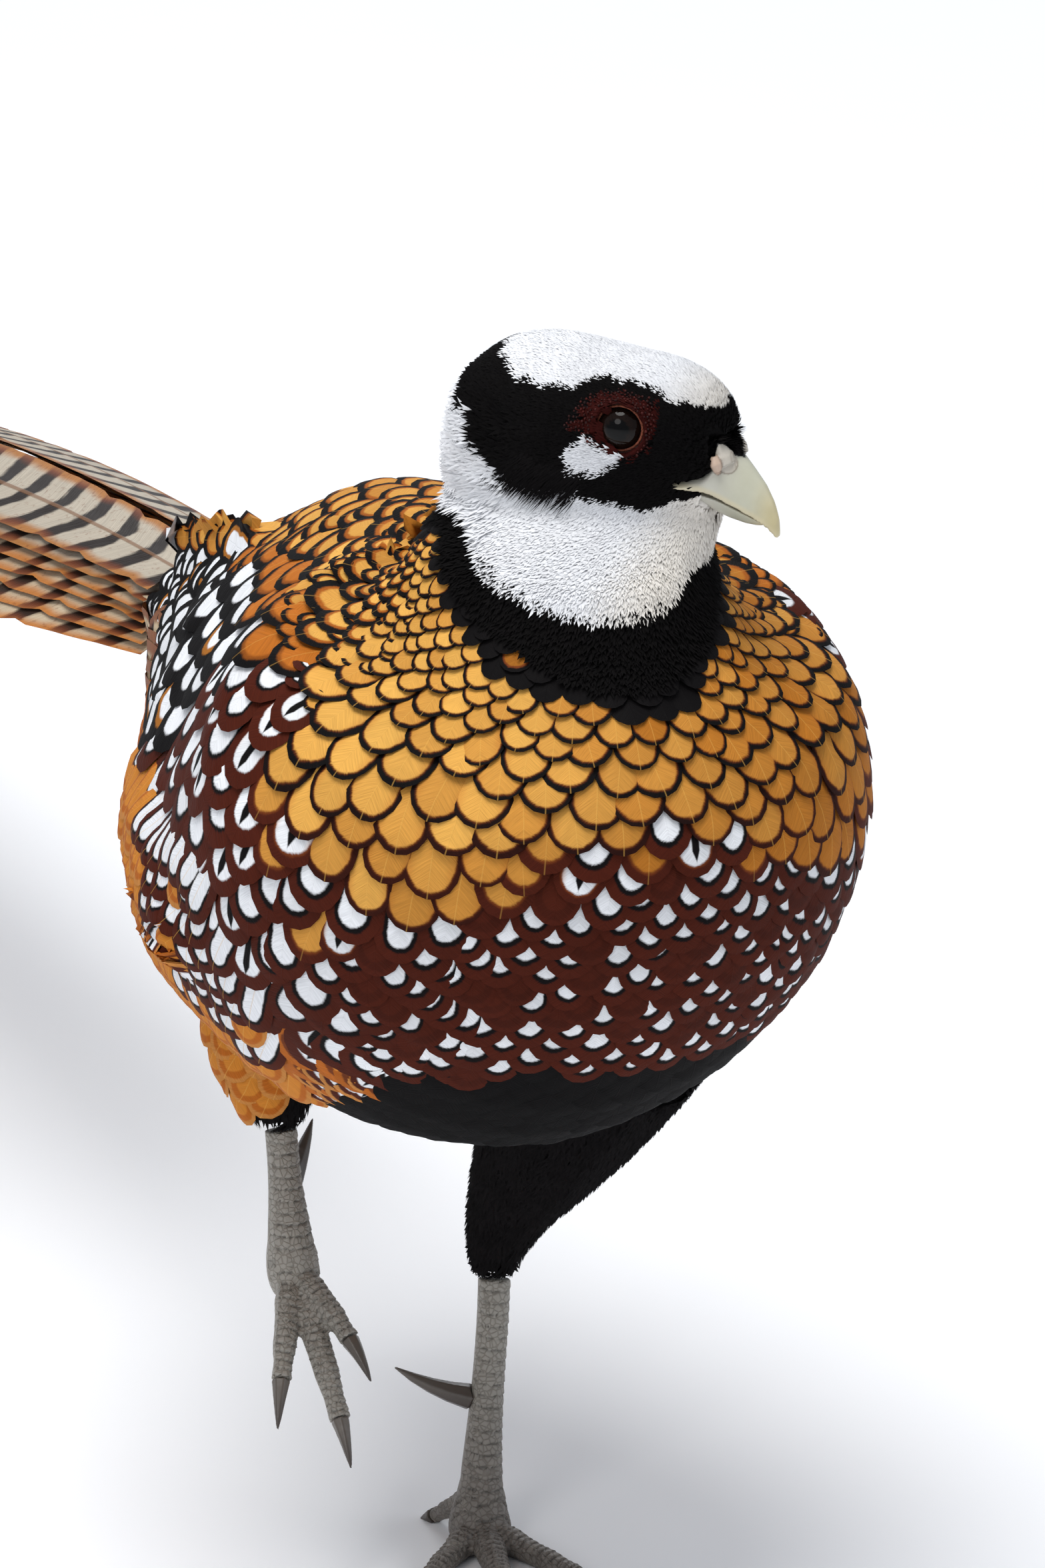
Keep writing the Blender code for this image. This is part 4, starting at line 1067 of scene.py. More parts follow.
for index in range(3):
    part = order[count * index // 3:count * (index + 1) // 3]
    tufts(f"head_plumage_{index + 1}", coat_surface, tips[part], ways[part], length[part], half[part],
          low[part], high[part], head_tint(tips[part], 53 + index), "collar_feather", seed=54 + index)

tips = scattered(coat_surface, lambda s: in_ring(s) & (s[:, 2] < white_edge(s[:, 1]) + 1.5), 1.45, 60000, 58)
draw = np.random.default_rng(59)
count = len(tips)
tufts("ring_plumage", coat_surface, tips, unit(head_lie(tips)) + draw.normal(size=(count, 3)) * 0.07,
      6.0 + draw.random(count), 1.9, -2.2, 0.35 + 0.5 * draw.random(count), soot(draw, count),
      "collar_feather", seed=60)


def ear_zone(spots):
    along, left, up = head_frame(spots)
    lower = np.interp(along, (-24, -16, -9, 1, 8, 17), (3, -6, -9, -10, -9.5, -9.4))
    return (along > -25) & (along < 10) & (up > lower - 1.5) & (up < lower + 4.5) & (np.abs(left) > 9)


tips = scattered(coat_surface, ear_zone, 1.1, 8000, 61)
ways = unit(head_lie(tips)) + np.array([0.0, 0.0, -0.9])
length = 9.0 + 3.5 * np.random.default_rng(62).random(len(tips))
tufts("ear_bristles", coat_surface, tips + unit(ways) * (length * 0.5)[:, None], ways, length, 0.3, 0.0, 0.75,
      np.tile(BLACK, (len(tips), 1)), "collar_feather", prongs=4, fan=0.14, lift=0.5, seed=63)


# Eyes, lids and the red skin round them
def wrapped(rows, sides, loop=False):
    """Triangles between neighbouring rings of points; with loop the last ring meets the first."""
    i, j = (grid.ravel() for grid in np.meshgrid(np.arange(rows if loop else rows - 1), np.arange(sides)))
    n = (i + 1) % rows * sides
    i = i * sides
    k = (j + 1) % sides
    return np.concatenate([np.stack([i + j, n + j, n + k], 1), np.stack([i + j, n + k, i + k], 1)])


def capped(rings, start, end):
    """Closed surface through rings of points, with a point at each end."""
    rows, sides = rings.shape[:2]
    last = rows * sides
    j = np.arange(sides)
    k = (j + 1) % sides
    caps = [np.stack([np.full(sides, last), j, k], 1),
            np.stack([np.full(sides, last + 1), last - sides + k, last - sides + j], 1)]
    return np.concatenate([rings.reshape(-1, 3), [start, end]]), np.concatenate([wrapped(rows, sides)] + caps)


def ball(centre, radius, turns, rises):
    """Points and triangles of a sphere."""
    high = (np.arange(1, rises) / rises * math.pi)[:, None]
    turn = np.arange(turns) / turns * TURN
    rings = np.stack([np.sin(high) * np.cos(turn), np.sin(high) * np.sin(turn), np.cos(high) + 0 * turn], -1)
    top = np.array([0.0, 0.0, radius])
    return capped(centre + radius * rings, centre + top, centre - top)


def ring(centre, axis, radii, thick, seed, turns=96, sides=12):
    """A soft closed ring round an axis, slightly uneven, as a lid's rim."""
    level = flattened(FORWARD[None], axis[None])[0]
    uneven = 1.0 + 0.12 * np.random.default_rng(seed).normal(size=turns)
    uneven = ((uneven + np.roll(uneven, 1) + np.roll(uneven, 2)) / 3)[:, None, None]
    turn = (np.arange(turns) / turns * TURN)[:, None]
    roll = (np.arange(sides) / sides * TURN)[:, None]
    out = level * np.cos(turn) * radii[0] + np.cross(axis, level) * np.sin(turn) * radii[1]
    rim = unit(out)[:, None] * np.cos(roll) * thick[0] + axis * np.sin(roll) * thick[1]
    return (centre + out[:, None] + rim * uneven).reshape(-1, 3), wrapped(turns, sides, True)


def tube(line, radii, sides=10):
    """Closed tapering tube along a line of points."""
    ways = unit(np.gradient(line, axis=0))
    other = unit(np.cross(ways, np.array([0.1, 0.2, 1.0])))
    turn = (np.arange(sides) / sides * TURN)[:, None]
    round_line = np.cos(turn) * other[:, None] + np.sin(turn) * np.cross(ways, other)[:, None]
    points, tris = capped(line[:, None] + np.array(radii)[:, None, None] * round_line, line[0], line[-1])
    return points, tris[:, ::-1]


EYE_LOOK = eye_material()
LID_LOOK = leg_material("red_skin", 0.2, 0.0)
# Rims of a lid: how far back, the ring's radii, its thickness, seed and colour
LID_RIMS = ((0.0, (5.75, 5.55), (0.36, 0.5), 7, colour(134, 74, 54)),
            (0.15, (6.35, 6.15), (0.42, 0.5), 8, colour(46, 18, 14)),
            (0.5, (7.0, 6.75), (0.5, 0.5), 9, colour(62, 16, 12)))
for side, centre in EYES.items():
    out = eye_way(side)
    points, tris = ball(centre, EYE_RADIUS, 64, 48)
    away = unit(points - centre) @ out
    points = points + (points - centre) * (0.045 * smooth(0.70, 0.98, away))[:, None]
    iris = np.where((away > 0.72)[:, None], colour(26, 16, 12), colour(12, 9, 9))
    eyeball = make(f"eyeball_{side}", points, tris, EYE_LOOK, "eye",
                   tint=np.where((away > 0.93)[:, None], colour(5, 5, 6), iris))
    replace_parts(eyeball, f"eye_{side}")
    rims = [ring(centre + out * (4.75 - deep), out, radii, thick, seed)
            for deep, radii, thick, seed, _ in LID_RIMS]
    points, tris = joined(rims)
    tint = np.concatenate([np.tile(rim[4], (len(p), 1)) for (p, _), rim in zip(rims, LID_RIMS)])
    make(f"lid_{side}", points, tris, LID_LOOK, "collar_feather", tint=tint)


def red_zone(spots):
    along, left, up = head_frame(spots)
    bare = inside(along, up, RED_SKIN) & ~inside(along, up, CHEEK)
    return bare & (np.abs(left) > 6) & (eye_distance(spots) > 7.2)


spots = scattered(coat_surface, red_zone, 0.8, 9000, 71)
bead_points, bead_tris = ball(np.zeros(3), 1.0, 7, 5)
bead_ups = coat_surface.nearest(spots)[1]
draw = np.random.default_rng(72)
count = len(spots)
bead_size = 0.26 + 0.14 * draw.random(count)
points = (spots - bead_ups * 0.05)[:, None] + bead_points[None] * bead_size[:, None, None]
tint = np.repeat(colour(74, 20, 14) * (0.2 + 0.8 * draw.random((count, 1)) ** 2), len(bead_points), axis=0)
make("red_face_skin", points.reshape(-1, 3), copies(bead_tris, count, len(bead_points)), LID_LOOK,
     "collar_feather", tint=np.clip(tint, 0, 1))

# Bill in the head's frame, from the mouth's corners to the tip: along, height of back and mouth, half width
UPPER_BILL = np.array([
    (32.8, -0.4, -1.5, 13.5), (34.5, 0.3, -1.8, 13.0), (36, 1.0, -1.8, 12.2), (37.5, 1.9, -1.9, 11.3),
    (39, 3.0, -1.8, 10.2), (40, 5.2, -2.0, 9.5), (41, 8.4, -2.2, 8.8), (42, 9.9, -2.5, 8.2),
    (43.5, 8.9, -3.0, 7.5), (45, 7.7, -3.6, 6.9), (48.5, 5.0, -4.8, 5.8), (52.5, 1.6, -6.3, 4.6),
    (55.6, -2.2, -8.0, 3.3), (57.6, -5.9, -9.8, 2.1), (58.5, -9.0, -11.2, 1.1)])
LOWER_BILL = np.array([
    (37, -5.2, -2.5, 9.9), (38.5, -6.4, -2.8, 9.3), (40.5, -7.8, -3.1, 8.3), (43, -8.9, -3.6, 7.1),
    (46, -9.4, -4.5, 6.0), (50, -9.6, -5.8, 4.7), (52.8, -9.3, -6.9, 3.3), (54.3, -8.9, -7.7, 1.7)])
# Swellings, each a line of along, out, up and radius: the flap over the nostril and the knob behind it
FLAP = np.array([(40.2, 4.8, 10.6, 0.9), (41.0, 4.4, 9.0, 1.8), (42.1, 4.1, 7.1, 2.6), (43.3, 4.0, 5.3, 2.3)])
KNOB = np.array([(40.8, 7.2, 7.4, 0.9), (41.6, 7.4, 5.7, 1.5), (42.5, 7.1, 4.0, 1.1)])
NOSTRIL = np.array([43.5, 7.0, 3.5])
BILL_SECTIONS = 48
BILL_ARC = 18


def bill_loft(rows):
    """Closed half of a bill through its sections: a dome over the mouth, or under it."""
    at = np.linspace(0, len(rows) - 1, BILL_SECTIONS)
    rows = np.stack([np.interp(at, np.arange(len(rows)), column) for column in rows.T], 1)
    turn = np.arange(BILL_ARC + 1) / BILL_ARC * math.pi
    flat = np.linspace(-1.0, 1.0, BILL_ARC + 1)[1:-1]
    outs = np.concatenate([np.cos(turn) * (1.0 - 0.14 * np.sin(turn)), flat])
    highs = np.concatenate([np.sin(turn), 0.10 * (1.0 - flat ** 2)])
    rings = np.array([[head_point(along, half * w, mouth + (back - mouth) * h) for w, h in zip(outs, highs)]
                      for along, back, mouth, half in rows])
    points, tris = capped(rings, head_point(rows[0, 0], 0, rows[0, 1:3].mean()),
                          head_point(rows[-1, 0] + 0.2, 0, rows[-1, 1:3].mean()))
    return points, tris if rows[0, 1] > rows[0, 2] else tris[:, ::-1]


def head_tubes(rows):
    """A tapering tube on each side of the head."""
    return [tube(np.array([head_point(a, side * out, up) for a, out, up, _ in rows]), rows[:, 3])
            for side in (1.0, -1.0)]


def line_distance(spots, rows):
    """How far places lie from a line of swellings, in parts of its radius."""
    best = np.full(len(spots), 99.0)
    for a, b in zip(rows[:-1], rows[1:]):
        t, off, _, long = part_line(spots, a[:3], b[:3])
        best = np.minimum(best, np.linalg.norm(off, axis=1) / mixed(a[3], b[3], t / long))
    return best


def forehead(spots):
    """The wedge of feathers that comes forward over the back of the bill."""
    along, left, up = head_frame(spots)
    reach = np.interp(along, (39, 41, 44, 46.2), (7.6, 5.6, 2.9, 0.3))
    return (along > 38.0) & (along < 46.2) & (np.abs(left) < reach) & (up > 4.5)


def bill_tint(points):
    along, left, up = head_frame(points)
    spots = np.stack([along, np.abs(left), up], 1)
    tint = blend(colour(196, 195, 184), colour(190, 190, 172), smooth(41.0, 49.0, along))
    tint = blend(tint, colour(202, 190, 148), smooth(50.0, 58.0, along))
    mouth = np.interp(along, UPPER_BILL[:, 0], UPPER_BILL[:, 2])
    tint = blend(tint, colour(212, 200, 164), (1.0 - smooth(0.3, 1.6, np.abs(up - mouth - 0.4))) * 0.6)
    flap_far = line_distance(spots, FLAP)
    knob_far = line_distance(spots, KNOB)
    tint = blend(tint, colour(200, 192, 182), (1.0 - smooth(1.0, 1.25, flap_far)) * 0.7)
    tint = blend(tint, colour(196, 172, 154), 1.0 - smooth(1.0, 1.15, knob_far))
    # painted shade: dark lines under the nostril flap's lower edge, round the knob, in the crease over the
    # flap and along the mouth's line
    crease = np.abs(along - 44.6 + (up - 7.2) * 0.42)
    painted_shade_lines = ((1.0 - smooth(0.04, 0.12, np.abs(flap_far - 1.14))) * (1.0 - smooth(6.0, 8.0, up)) * 0.6,
             (1.0 - smooth(0.05, 0.16, np.abs(knob_far - 1.12))) * 0.6,
             (1.0 - smooth(0.05, 0.25, crease)) * (np.abs(up - 7.2) < 2.4) * (flap_far < 1.1) * 0.35,
             (1.0 - smooth(0.1, 0.35, np.abs(up - mouth))) * (along < 57) * 0.5)
    tint = blend(tint, colour(104, 84, 70), np.max(painted_shade_lines, axis=0))
    tint = np.where(forehead(points)[:, None], BLACK * 0.6, tint)
    # painted shade: the nostril's opening is painted dark
    return blend(tint, colour(34, 26, 24), 1.0 - smooth(0.55, 1.05, np.linalg.norm(spots - NOSTRIL, axis=1)))


HORN = horn_material("bill_horn_look", 0.36, 240.0)
CLAW = horn_material("claw_horn_look", 0.34, 500.0)
BILL_HALVES = (("bill_upper", [bill_loft(UPPER_BILL)] + head_tubes(FLAP) + head_tubes(KNOB)),
               ("bill_lower", [bill_loft(LOWER_BILL)]))
for name, parts in BILL_HALVES:
    points, tris = melted(parts, 0.0, 0.3, 4)
    along, left, up = head_frame(points)
    far = np.linalg.norm(np.stack([along, np.abs(left), up], 1) - NOSTRIL, axis=1)
    points = points - point_normals(points, tris) * (0.9 * (1.0 - smooth(0.3, 1.0, far)))[:, None]
    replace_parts(make(f"{name}_horn", points, tris, HORN, "bill_horn", tint=bill_tint(points)), name)
    if name == "bill_upper":
        bill_surface = Surface(points, tris)

tips = scattered(bill_surface, forehead, 0.5, 12000, 75)
draw = np.random.default_rng(76)
count = len(tips)
ways = unit(unit(head_point(60.0, 0.0, 2.0) - tips) * 0.8 + UPWARD * 0.25)
ways = ways + draw.normal(size=(count, 3)) * 0.12
high = 0.5 + 0.5 * draw.random(count) + 1.8 * (1.0 - smooth(40.0, 45.0, head_frame(tips)[0]))
tufts("forehead_plumage", bill_surface, tips, ways, 1.8, 0.5, -0.2, high, soot(draw, count), "collar_feather",
      prongs=3, fan=0.4, lift=0.35, seed=77)

# Legs, with scutes in front and small scales behind
TOP = np.array([0.0, 0.0, 1.0])
FRONT = np.array([0.0, -1.0, 0.0])
TARSI = {"left": [(9, 12.2, 72), (9, 12.2, 68.4), (7.5, 10, 56), (5.2, 7.5, 40), (3, 5, 26), (1.4, 2.6, 12)],
         "right": [(-42.7, 32.6, 114), (-42.7, 32.6, 110.4), (-42.8, 30.5, 101), (-42.9, 28, 91),
                   (-43, 24.5, 78)]}
TARSUS_PITCH = 3.1
TOE_PITCH = 2.3
RIGHT_FOOT = np.array([-43.0, 23.5, 73.5])
LEFT_TOES = ((20, 38), (-12, 51), (-46, 34), (-158, 17))
RIGHT_TOES = ((-13, -25, -18.5), (-1, -36, -27), (6, -25, -10), (8, 11, -11))


def leg_lines(side):
    """Middle lines of tarsus and toes with the way that their scutes face and the scutes' pitch."""
    lines = [(np.array(TARSI[side], float), FRONT, TARSUS_PITCH)]
    if side == "left":
        for heading, length in LEFT_TOES:
            turn = math.radians(heading)
            end = (math.sin(turn) * length, -math.cos(turn) * length, 4.0)
            lines.append((np.array([(0, 0, 8.0), end]), TOP, TOE_PITCH))
    else:
        for offset in RIGHT_TOES:
            face = unit(TOP * 0.9 + FRONT * 0.9 if offset[1] < 0 else FRONT - TOP)
            lines.append((np.array([RIGHT_FOOT, RIGHT_FOOT + np.array(offset) * 1.05]), face, TOE_PITCH))
    return lines


LEG_LOOK = leg_material("leg_scales", 0.4, 0.3)
for side in ("left", "right"):
    points, tris = melted((f"tarsus_{side}", f"foot_{side}"), 0.22, 0.55, 5)
    normals = point_normals(points, tris)
    best = np.full(len(points), 1e9)
    # run along the nearest line, how much the place faces as its scutes do, and their pitch
    scute = np.zeros((3, len(points)))
    start = 0.0
    for line, face, pitch in leg_lines(side):
        for a, b in zip(line[:-1], line[1:]):
            t, off, _, long = part_line(points, a, b)
            far = np.linalg.norm(off, axis=1)
            closer = far < best
            best = np.where(closer, far, best)
            scute = np.where(closer, (start + t, normals @ face, np.full(len(points), pitch)), scute)
            start += long
        start += 0.7
    run, facing, pitch = scute
    saw = np.mod(run / pitch + 0.12 * np.sin(facing * 5.0), 1.0)
    plate = smooth(0.05, 0.45, facing)
    groove = 1.0 - smooth(0.0, 0.22, saw)
    points = points + normals * (plate * (0.30 * saw - 0.42 * groove))[:, None]
    tint = blend(colour(116, 110, 104), colour(150, 146, 138), smooth(0.0, 60.0, points[:, 2]))
    tint = tint * (1.0 - 0.55 * groove * plate)[:, None]
    piece = make(f"leg_{side}", points, tris, LEG_LOOK, "leg_skin", tint=np.clip(tint, 0, 1))
    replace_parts(piece, f"tarsus_{side}", f"foot_{side}")
    for name in [f"claw_{side}_{toe}" for toe in ("outer", "middle", "inner", "hind")] + [f"spur_{side}"]:
        points, tris = melted((name,), 0.0, 0.32, 3)
        low, high = (corner[2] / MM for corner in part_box(name))
        pale = smooth(0.0, 1.0, (points[:, 2] - low) / (high - low)) * 0.35
        tint = blend(colour(70, 62, 58), colour(128, 120, 110), pale)
        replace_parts(make(f"{name}_horn", points, tris, CLAW, "claw_horn", tint=tint), name)

# Thigh feathers
THIGHS = {"left": ((22, -30, 152), (9.2, 12.5, 69)), "right": ((-40, 35, 158), (-42.6, 33, 111))}
for side, (hip, knee) in THIGHS.items():
    surface = Surface(*melted((f"thigh_{side}",), 0.0, 1.2, 8))
    tips = scattered(surface, lambda s: s[:, 2] > 0, 2.1, 12000, 81)
    count = len(tips)
    draw = np.random.default_rng(82)
    ways = unit(np.array(knee) - np.array(hip)) + draw.normal(size=(count, 3)) * 0.1
    shine = np.clip(BLACK * (0.8 + 0.7 * draw.random((count, 1))), 0, 1)
    tufts(f"thigh_plumage_{side}", surface, tips, ways, 7.0 + 2.0 * draw.random(count), 2.0, -1.4,
          0.3 + 0.4 * draw.random(count), shine, "black_feather", fan=0.4, seed=83)


# Long feathers
def leaf(f, tip_round=0.5):
    """How wide a feather is at part f of its length."""
    return np.minimum(1.0, 0.45 + 2.2 * f) * np.maximum(0.0, 1.0 - f ** 5) ** tip_round


def strip(coat, middles, sides, ups, halves, pitch, looks, seed, number, total, columns, thick, ridge):
    """One long closed vane along given middle points, with a raised shaft: number so-and-so of the total."""
    rows = len(middles) - 1
    x = np.linspace(-1.0, 1.0, columns)
    run = np.concatenate([[0.0], np.cumsum(np.linalg.norm(np.diff(middles, axis=0), axis=1))])
    profile = thick * (1.0 - x ** 2) * 0.5 + ridge * np.exp(-(x / 0.1) ** 2)
    taper = 1.0 - 0.6 * run[:rows] / run[-1]
    points = (middles[:rows, None] + sides[:rows, None] * (x * halves[:rows, None])[..., None]
              + ups[:rows, None] * (profile * taper[:, None])[..., None]).reshape(-1, 3)
    along = np.append(np.repeat(run[:rows], columns), run[-1])
    across = np.append(np.tile(x, rows), 0.0)
    bakes = 0.01 + 0.98 * np.stack([(number + across * 0.46 + 0.5) / total, along / run[-1]], 1)
    count = len(along)
    coat.add(np.concatenate([points, middles[-1:]]), blade_faces(rows, columns),
             vane=np.stack([across, along / pitch], 1), OFBake=bakes, seed=np.full(count, seed),
             **{key: np.tile(value, (count, 1)) for key, value in zip(LOOK_KEYS, looks)})


# Wings: flight feathers in tiers over the flank
WRIST = np.array([24.0, 196.0])
ELBOW = np.array([70.0, 240.0])
WING_LOOKS = (colour(38, 24, 18), CHESTNUT, colour(198, 178, 146), colour(128, 74, 36), (0.62, 0.6, 0, 1))
WING_SINK = 3.4
# Count, shift, low length, high length, low slope, high slope, half width, lift, first, last
WING_TIERS = ((8, 40, 84, 78, 6, 0, 8.0, 0.4, 0.04, 0.42),
              (13, 26, 78, 62, -5, -12, 8.0, 0.9, 0.04, 1.0))


def on_wing(side, spot, rise):
    """Place over the wing's surface, at y and z of the spot."""
    y, z = spot
    hit = body_surface.tree.ray_cast(Vector((MID_X + side * 300.0, y, z)), Vector((-side, 0.0, 0.0)))[0]
    found = abs(hit[0] - MID_X) if hit is not None else 0.0
    out = max(found, 52.0 - 0.4 * max(0.0, y - 40.0) - 0.012 * max(0.0, z - 215.0) ** 2, 20.0)
    return np.array([MID_X + side * (out + rise), y, z])


def wing_top(side, y):
    """Height of the plumage over a wing at a place along the body."""
    hit = body_surface.tree.ray_cast(Vector((MID_X + side * 30.0, y, 400.0)), Vector((0.0, 0.0, -1.0)))[0]
    return hit[2] if hit is not None else 222.0 - 0.1 * (y - 140.0)


for side, word in ((1.0, "left"), (-1.0, "right")):
    wing = Coat()
    draw = np.random.default_rng(91)
    for count, shift, low_long, high_long, low_slope, high_slope, half, lift, first, last in WING_TIERS:
        for f in np.linspace(0.0, 1.0, count):
            root = mixed(WRIST, ELBOW, mixed(first, last, f)) + np.array([shift, 4.0])
            length = mixed(low_long, high_long, f) * (1.0 + draw.normal() * 0.015)
            slope = math.radians(mixed(low_slope, high_slope, f) + draw.normal() * 0.6)
            along = np.array([math.cos(slope), math.sin(slope)])
            across = np.array([-math.sin(slope), math.cos(slope)])
            triples = []
            halves = []
            for u in np.linspace(0.0, 1.0, 15):
                width = max(half * leaf(u * 0.99), 0.5)
                spot = root + along * length * u + np.array([0.0, -4.0 * u * u])
                spot[1] = min(spot[1], wing_top(side, spot[0]) - width - 6.0 + 3.0 * f)
                rise = (lift + WING_SINK) * smooth(0.1, 0.6, u) - WING_SINK
                triples.append([on_wing(side, spot + across * off, rise + more)
                                for off, more in ((0.0, 0.0), (width, -0.5), (-width, 0.7))])
                halves.append(width)
            middles, uppers, lowers = np.swapaxes(triples, 0, 1)
            lines = unit(np.gradient(middles, axis=0))
            ups = unit(np.cross(uppers - lowers, lines))
            ups = ups * np.where(ups[:, :1] * side > 0, 1.0, -1.0)
            strip(wing, middles, np.cross(lines, ups), ups, np.array(halves), 17.0, WING_LOOKS, draw.random(),
                  len(wing.parts), sum(tier[0] for tier in WING_TIERS), 7, 0.7, 0.25)
    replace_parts(wing.build(f"wing_feathers_{word}", feather_long, "maroon_feather")[0], f"wing_{word}")

# Long soft feathers of the flanks, in rows that bulge out over the thighs
FLANK_NODES = ("torso", "wing_left", "wing_right", "thigh_left", "thigh_right")
flank_points, flank_tris = melted(FLANK_NODES, 9.0, 2.4, 24)
flank_surface = Surface(relaxed(flank_points, flank_tris, 30), flank_tris)
FLANK_TOP = 214.0
FLANK_STEP = 6.5
flank = Coat()
draw = np.random.default_rng(95)
for side, bottom in ((1.0, 150.0), (-1.0, 114.5)):
    hits = []
    for row, height in enumerate(np.arange(bottom, FLANK_TOP, FLANK_STEP)):
        first = np.interp(height, (127, 150, 180, 210), (2.0, -40.0, -66.0, -52.0))
        for y in np.arange(first + 4.0 * (row % 2), 56.0, 8.0):
            root = (MID_X + side * 200.0, y + draw.normal() * 0.8,
                    height - 0.08 * (y + 60.0) + draw.normal() * 0.8)
            hits.append(flank_surface.tree.ray_cast(Vector(root), Vector((-side, 0.0, 0.0)))[0])
    hits = np.array([tuple(hit) for hit in hits if hit is not None])
    count = len(hits)
    ways = np.array([0.0, 0.55, -0.8]) + draw.normal(size=(count, 3)) * 0.05
    r = draw.random(count) * 0.5 + 0.45 * smooth(-50.0, 10.0, hits[:, 1])
    plain = (r + 0.5 * (1.0 - smooth(150.0, 176.0, hits[:, 2])) > 0.5)[:, None]
    values = ((BUFF, MAROON), (ORANGE, BLACK), (FRINGE, WHITE), (ORANGE, FRINGE),
              ((0.80, 0.55, 0.0, 0.3), (0.62, 0.48, 0.0, 0.3)))
    looks = {key: np.where(plain, *pair) for key, pair in zip(LOOK_KEYS, values)}
    swell = 1.0 - smooth(150.0, 200.0, hits[:, 2])
    length = 25.0 + 3.0 * swell + draw.normal(size=count)
    lay(flank, flank_surface, hits - ways * 4.0, ways, length, 6.2, -2.0,
        2.2 + 0.6 * draw.random(count) + 1.2 * swell, 1.35, 1.2, looks, curl=0.8, seed=96 + int(side))
flank.build("flank_feathers", feather_scale, "maroon_feather")

# Tail
TAIL_START_Y = 150.0
TAIL_RUN = 1270.0
TAIL_ROOT_Z = 217.0
TAIL_SLOPE = 0.07
TAIL_TOUCH = 0.93
TAIL_THICK = 1.2
TAIL_PAIRS = ((1.0, 20), (0.84, 20), (0.67, 19), (0.52, 18), (0.40, 17), (0.31, 16), (0.24, 15))
TAIL_STEP = 2.9
UPPER_TAIL = (colour(36, 28, 24), CHESTNUT, colour(178, 168, 152), colour(164, 108, 54), (0.82, 0.55, 0, 1))
LOWER_TAIL = (colour(46, 32, 24), CHESTNUT, colour(190, 172, 146), colour(180, 114, 54), (0.86, 0.55, 0, 1))
LEVEL_OUT = np.array([1.0, 0.0, 0.0])


def tail_line(run):
    """Places and slopes of the tail's middle line at level runs behind its root."""
    hanging = TAIL_RUN * TAIL_TOUCH
    f = np.minimum(run / hanging, 1.0)
    tip = TAIL_THICK * 0.45
    fall = TAIL_ROOT_Z - tip
    first = TAIL_SLOPE * hanging / fall
    height = (2 * f ** 3 - 3 * f ** 2 + 1) - first * (f ** 3 - 2 * f ** 2 + f)
    change = (6 * f ** 2 - 6 * f) - first * (3 * f ** 2 - 4 * f + 1)
    places = np.stack([np.full_like(run, MID_X), TAIL_START_Y + run, tip + fall * height], 1)
    return places, change * fall / hanging


tail = Coat()
draw = np.random.default_rng(101)
for pair, (part, half) in enumerate(TAIL_PAIRS):
    for side in (1.0, -1.0):
        rows = max(int(TAIL_RUN * part / 7.0), 24)
        f = np.linspace(0.0, 1.0, rows + 1)
        places, slope = tail_line(8.0 + (TAIL_RUN - 8.0) * part * f)
        turn = np.arctan(slope)
        ups = np.stack([np.zeros(rows + 1), -np.sin(turn), np.cos(turn)], 1)
        settle = np.maximum(0.0, 1.0 - f / TAIL_TOUCH) if pair == 0 else np.ones(rows + 1)
        tilt = (math.radians(22.0 + 1.5 * pair) * side * settle)[:, None]
        width = half * leaf(f * 0.99, 0.8) * (1.0 - 0.45 * f) + 1.2
        out = side * (2.0 + 0.87 * width + pair * (1.2 + 4.0 * f))
        below = (TAIL_STEP * pair - 5.0) * settle
        middles = places + LEVEL_OUT * out[:, None] - ups * below[:, None]
        middles[:, 2] = np.maximum(middles[:, 2], 0.15)
        ragged = 1.0 - 0.10 * (draw.random(rows + 1) > 0.9) - 0.02 * draw.random(rows + 1)
        sides = LEVEL_OUT * np.cos(tilt) - ups * np.sin(tilt)
        tops = ups * np.cos(tilt) + LEVEL_OUT * np.sin(tilt)
        strip(tail, middles, sides, tops, width * ragged, 23.0, UPPER_TAIL if pair < 2 else LOWER_TAIL,
              draw.random(), len(tail.parts), 2 * len(TAIL_PAIRS), 11, 0.9, 0.4)
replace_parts(tail.build("tail_feathers", feather_long, "tail_feather")[0], "tail")

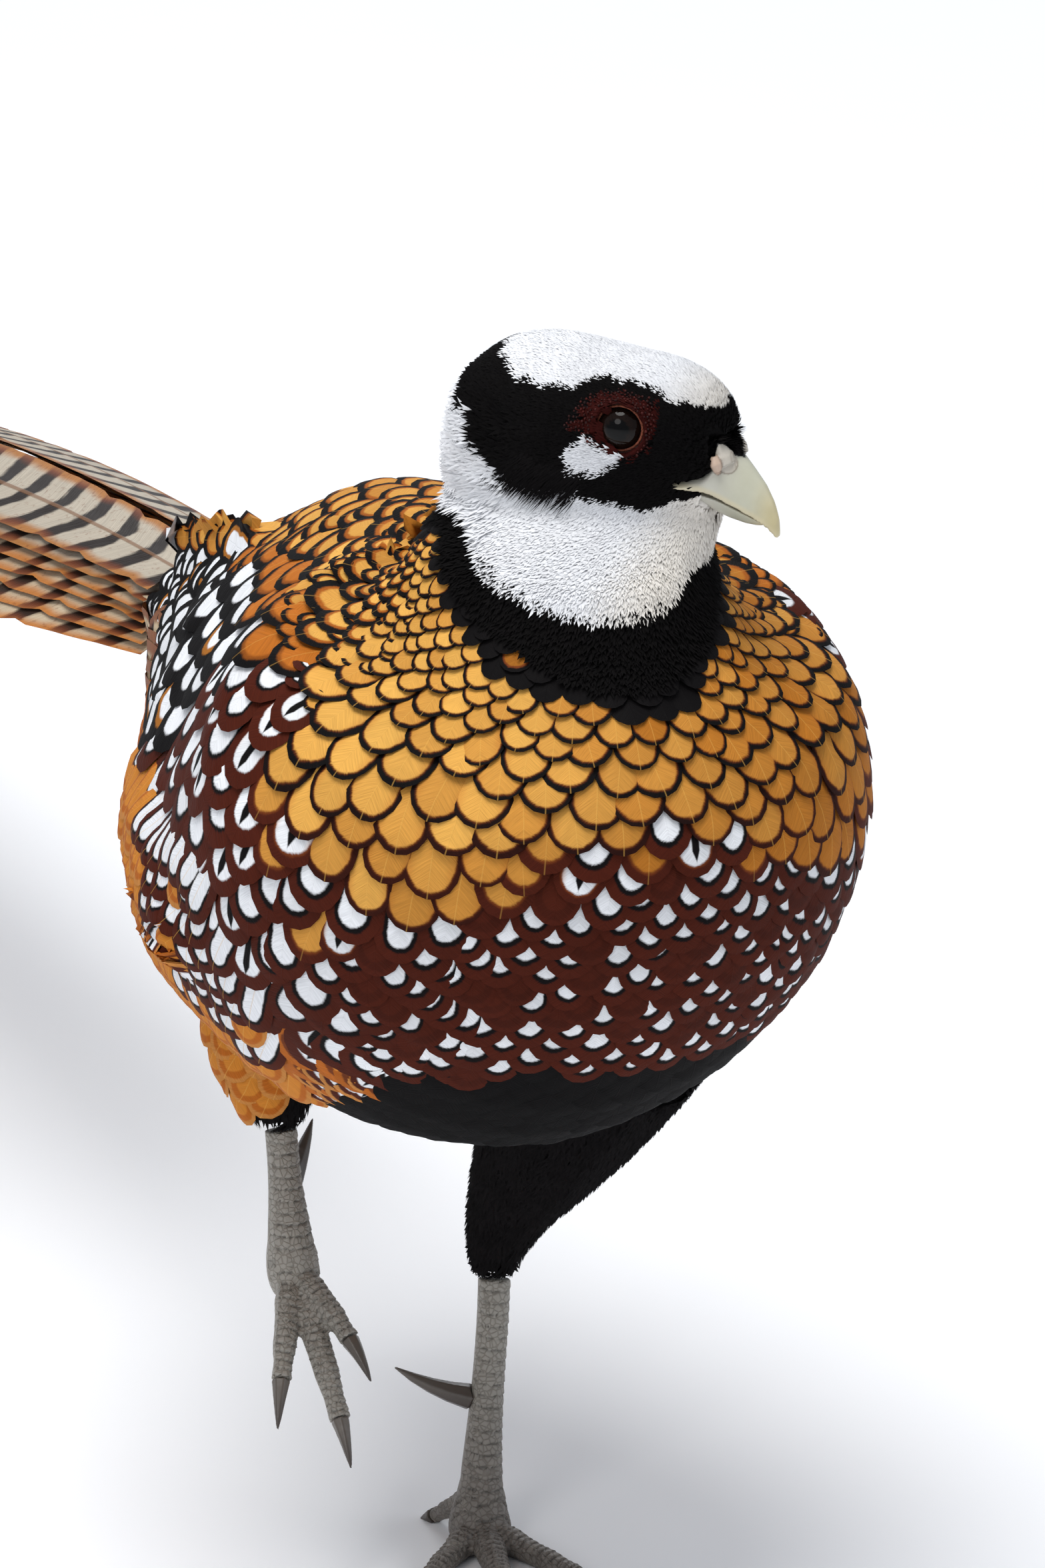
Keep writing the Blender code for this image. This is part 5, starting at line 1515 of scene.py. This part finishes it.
# Camera, floor and light
scene = bpy.context.scene
back = Vector((math.sin(CAMERA_TURN) * math.cos(CAMERA_RISE), -math.cos(CAMERA_TURN) * math.cos(CAMERA_RISE),
               math.sin(CAMERA_RISE)))
camera_data = bpy.data.cameras.new("camera")
camera_data.sensor_fit = "VERTICAL"
camera_data.sensor_height = 36.0
camera_data.lens = CAMERA_LENS
camera_data.clip_end = 100.0
camera = bpy.data.objects.new("camera", camera_data)
camera.location = Vector(CAMERA_AIM) + back * CAMERA_REACH
camera.rotation_euler = back.to_track_quat("Z", "Y").to_euler()
scene.collection.objects.link(camera)
scene.camera = camera

FLOOR_REACH = 14.0
corners = [(x * FLOOR_REACH, y * FLOOR_REACH, 0) for x, y in ((-1, -1), (1, -1), (1, 1), (-1, 1))]
floor_mesh = bpy.data.meshes.new("floor")
floor_mesh.from_pydata(corners, [], [(0, 1, 2, 3)])
floor_mesh.materials.append(floor_material())
floor = bpy.data.objects.new("floor", floor_mesh)
scene.collection.objects.link(floor)

# Soft lamps: place, aim, size, power and colour
LAMPS = {"top_light": ((-0.5, -0.3, 2.4), (0, 0, 0.2), 1.6, 48.0, (1.0, 0.99, 0.97)),
         "front_light": ((-1.9, -1.6, 1.5), (0, 0, 0.22), 1.2, 12.0, (1.0, 0.98, 0.96)),
         "side_light": ((2.0, -1.2, 1.0), (0, 0, 0.22), 1.6, 7.0, (0.94, 0.97, 1.0)),
         "rear_light": ((0.8, 2.2, 1.6), (0, 0.3, 0.2), 1.6, 16.0, (0.96, 0.98, 1.0))}
for name, (place, aim, size, power, tone) in LAMPS.items():
    data = bpy.data.lights.new(name, "AREA")
    data.shape = "DISK"
    data.size = size
    data.energy = power
    data.color = tone
    lamp = bpy.data.objects.new(name, data)
    lamp.location = place
    lamp.rotation_euler = (Vector(place) - Vector(aim)).to_track_quat("Z", "Y").to_euler()
    scene.collection.objects.link(lamp)

world = bpy.data.worlds.new("studio")
scene.world = world
world.use_nodes = True
world.node_tree.nodes["Background"].inputs[0].default_value = (0.86, 0.9, 0.97, 1.0)
world.node_tree.nodes["Background"].inputs[1].default_value = 0.42
scene.view_settings.view_transform = "Standard"
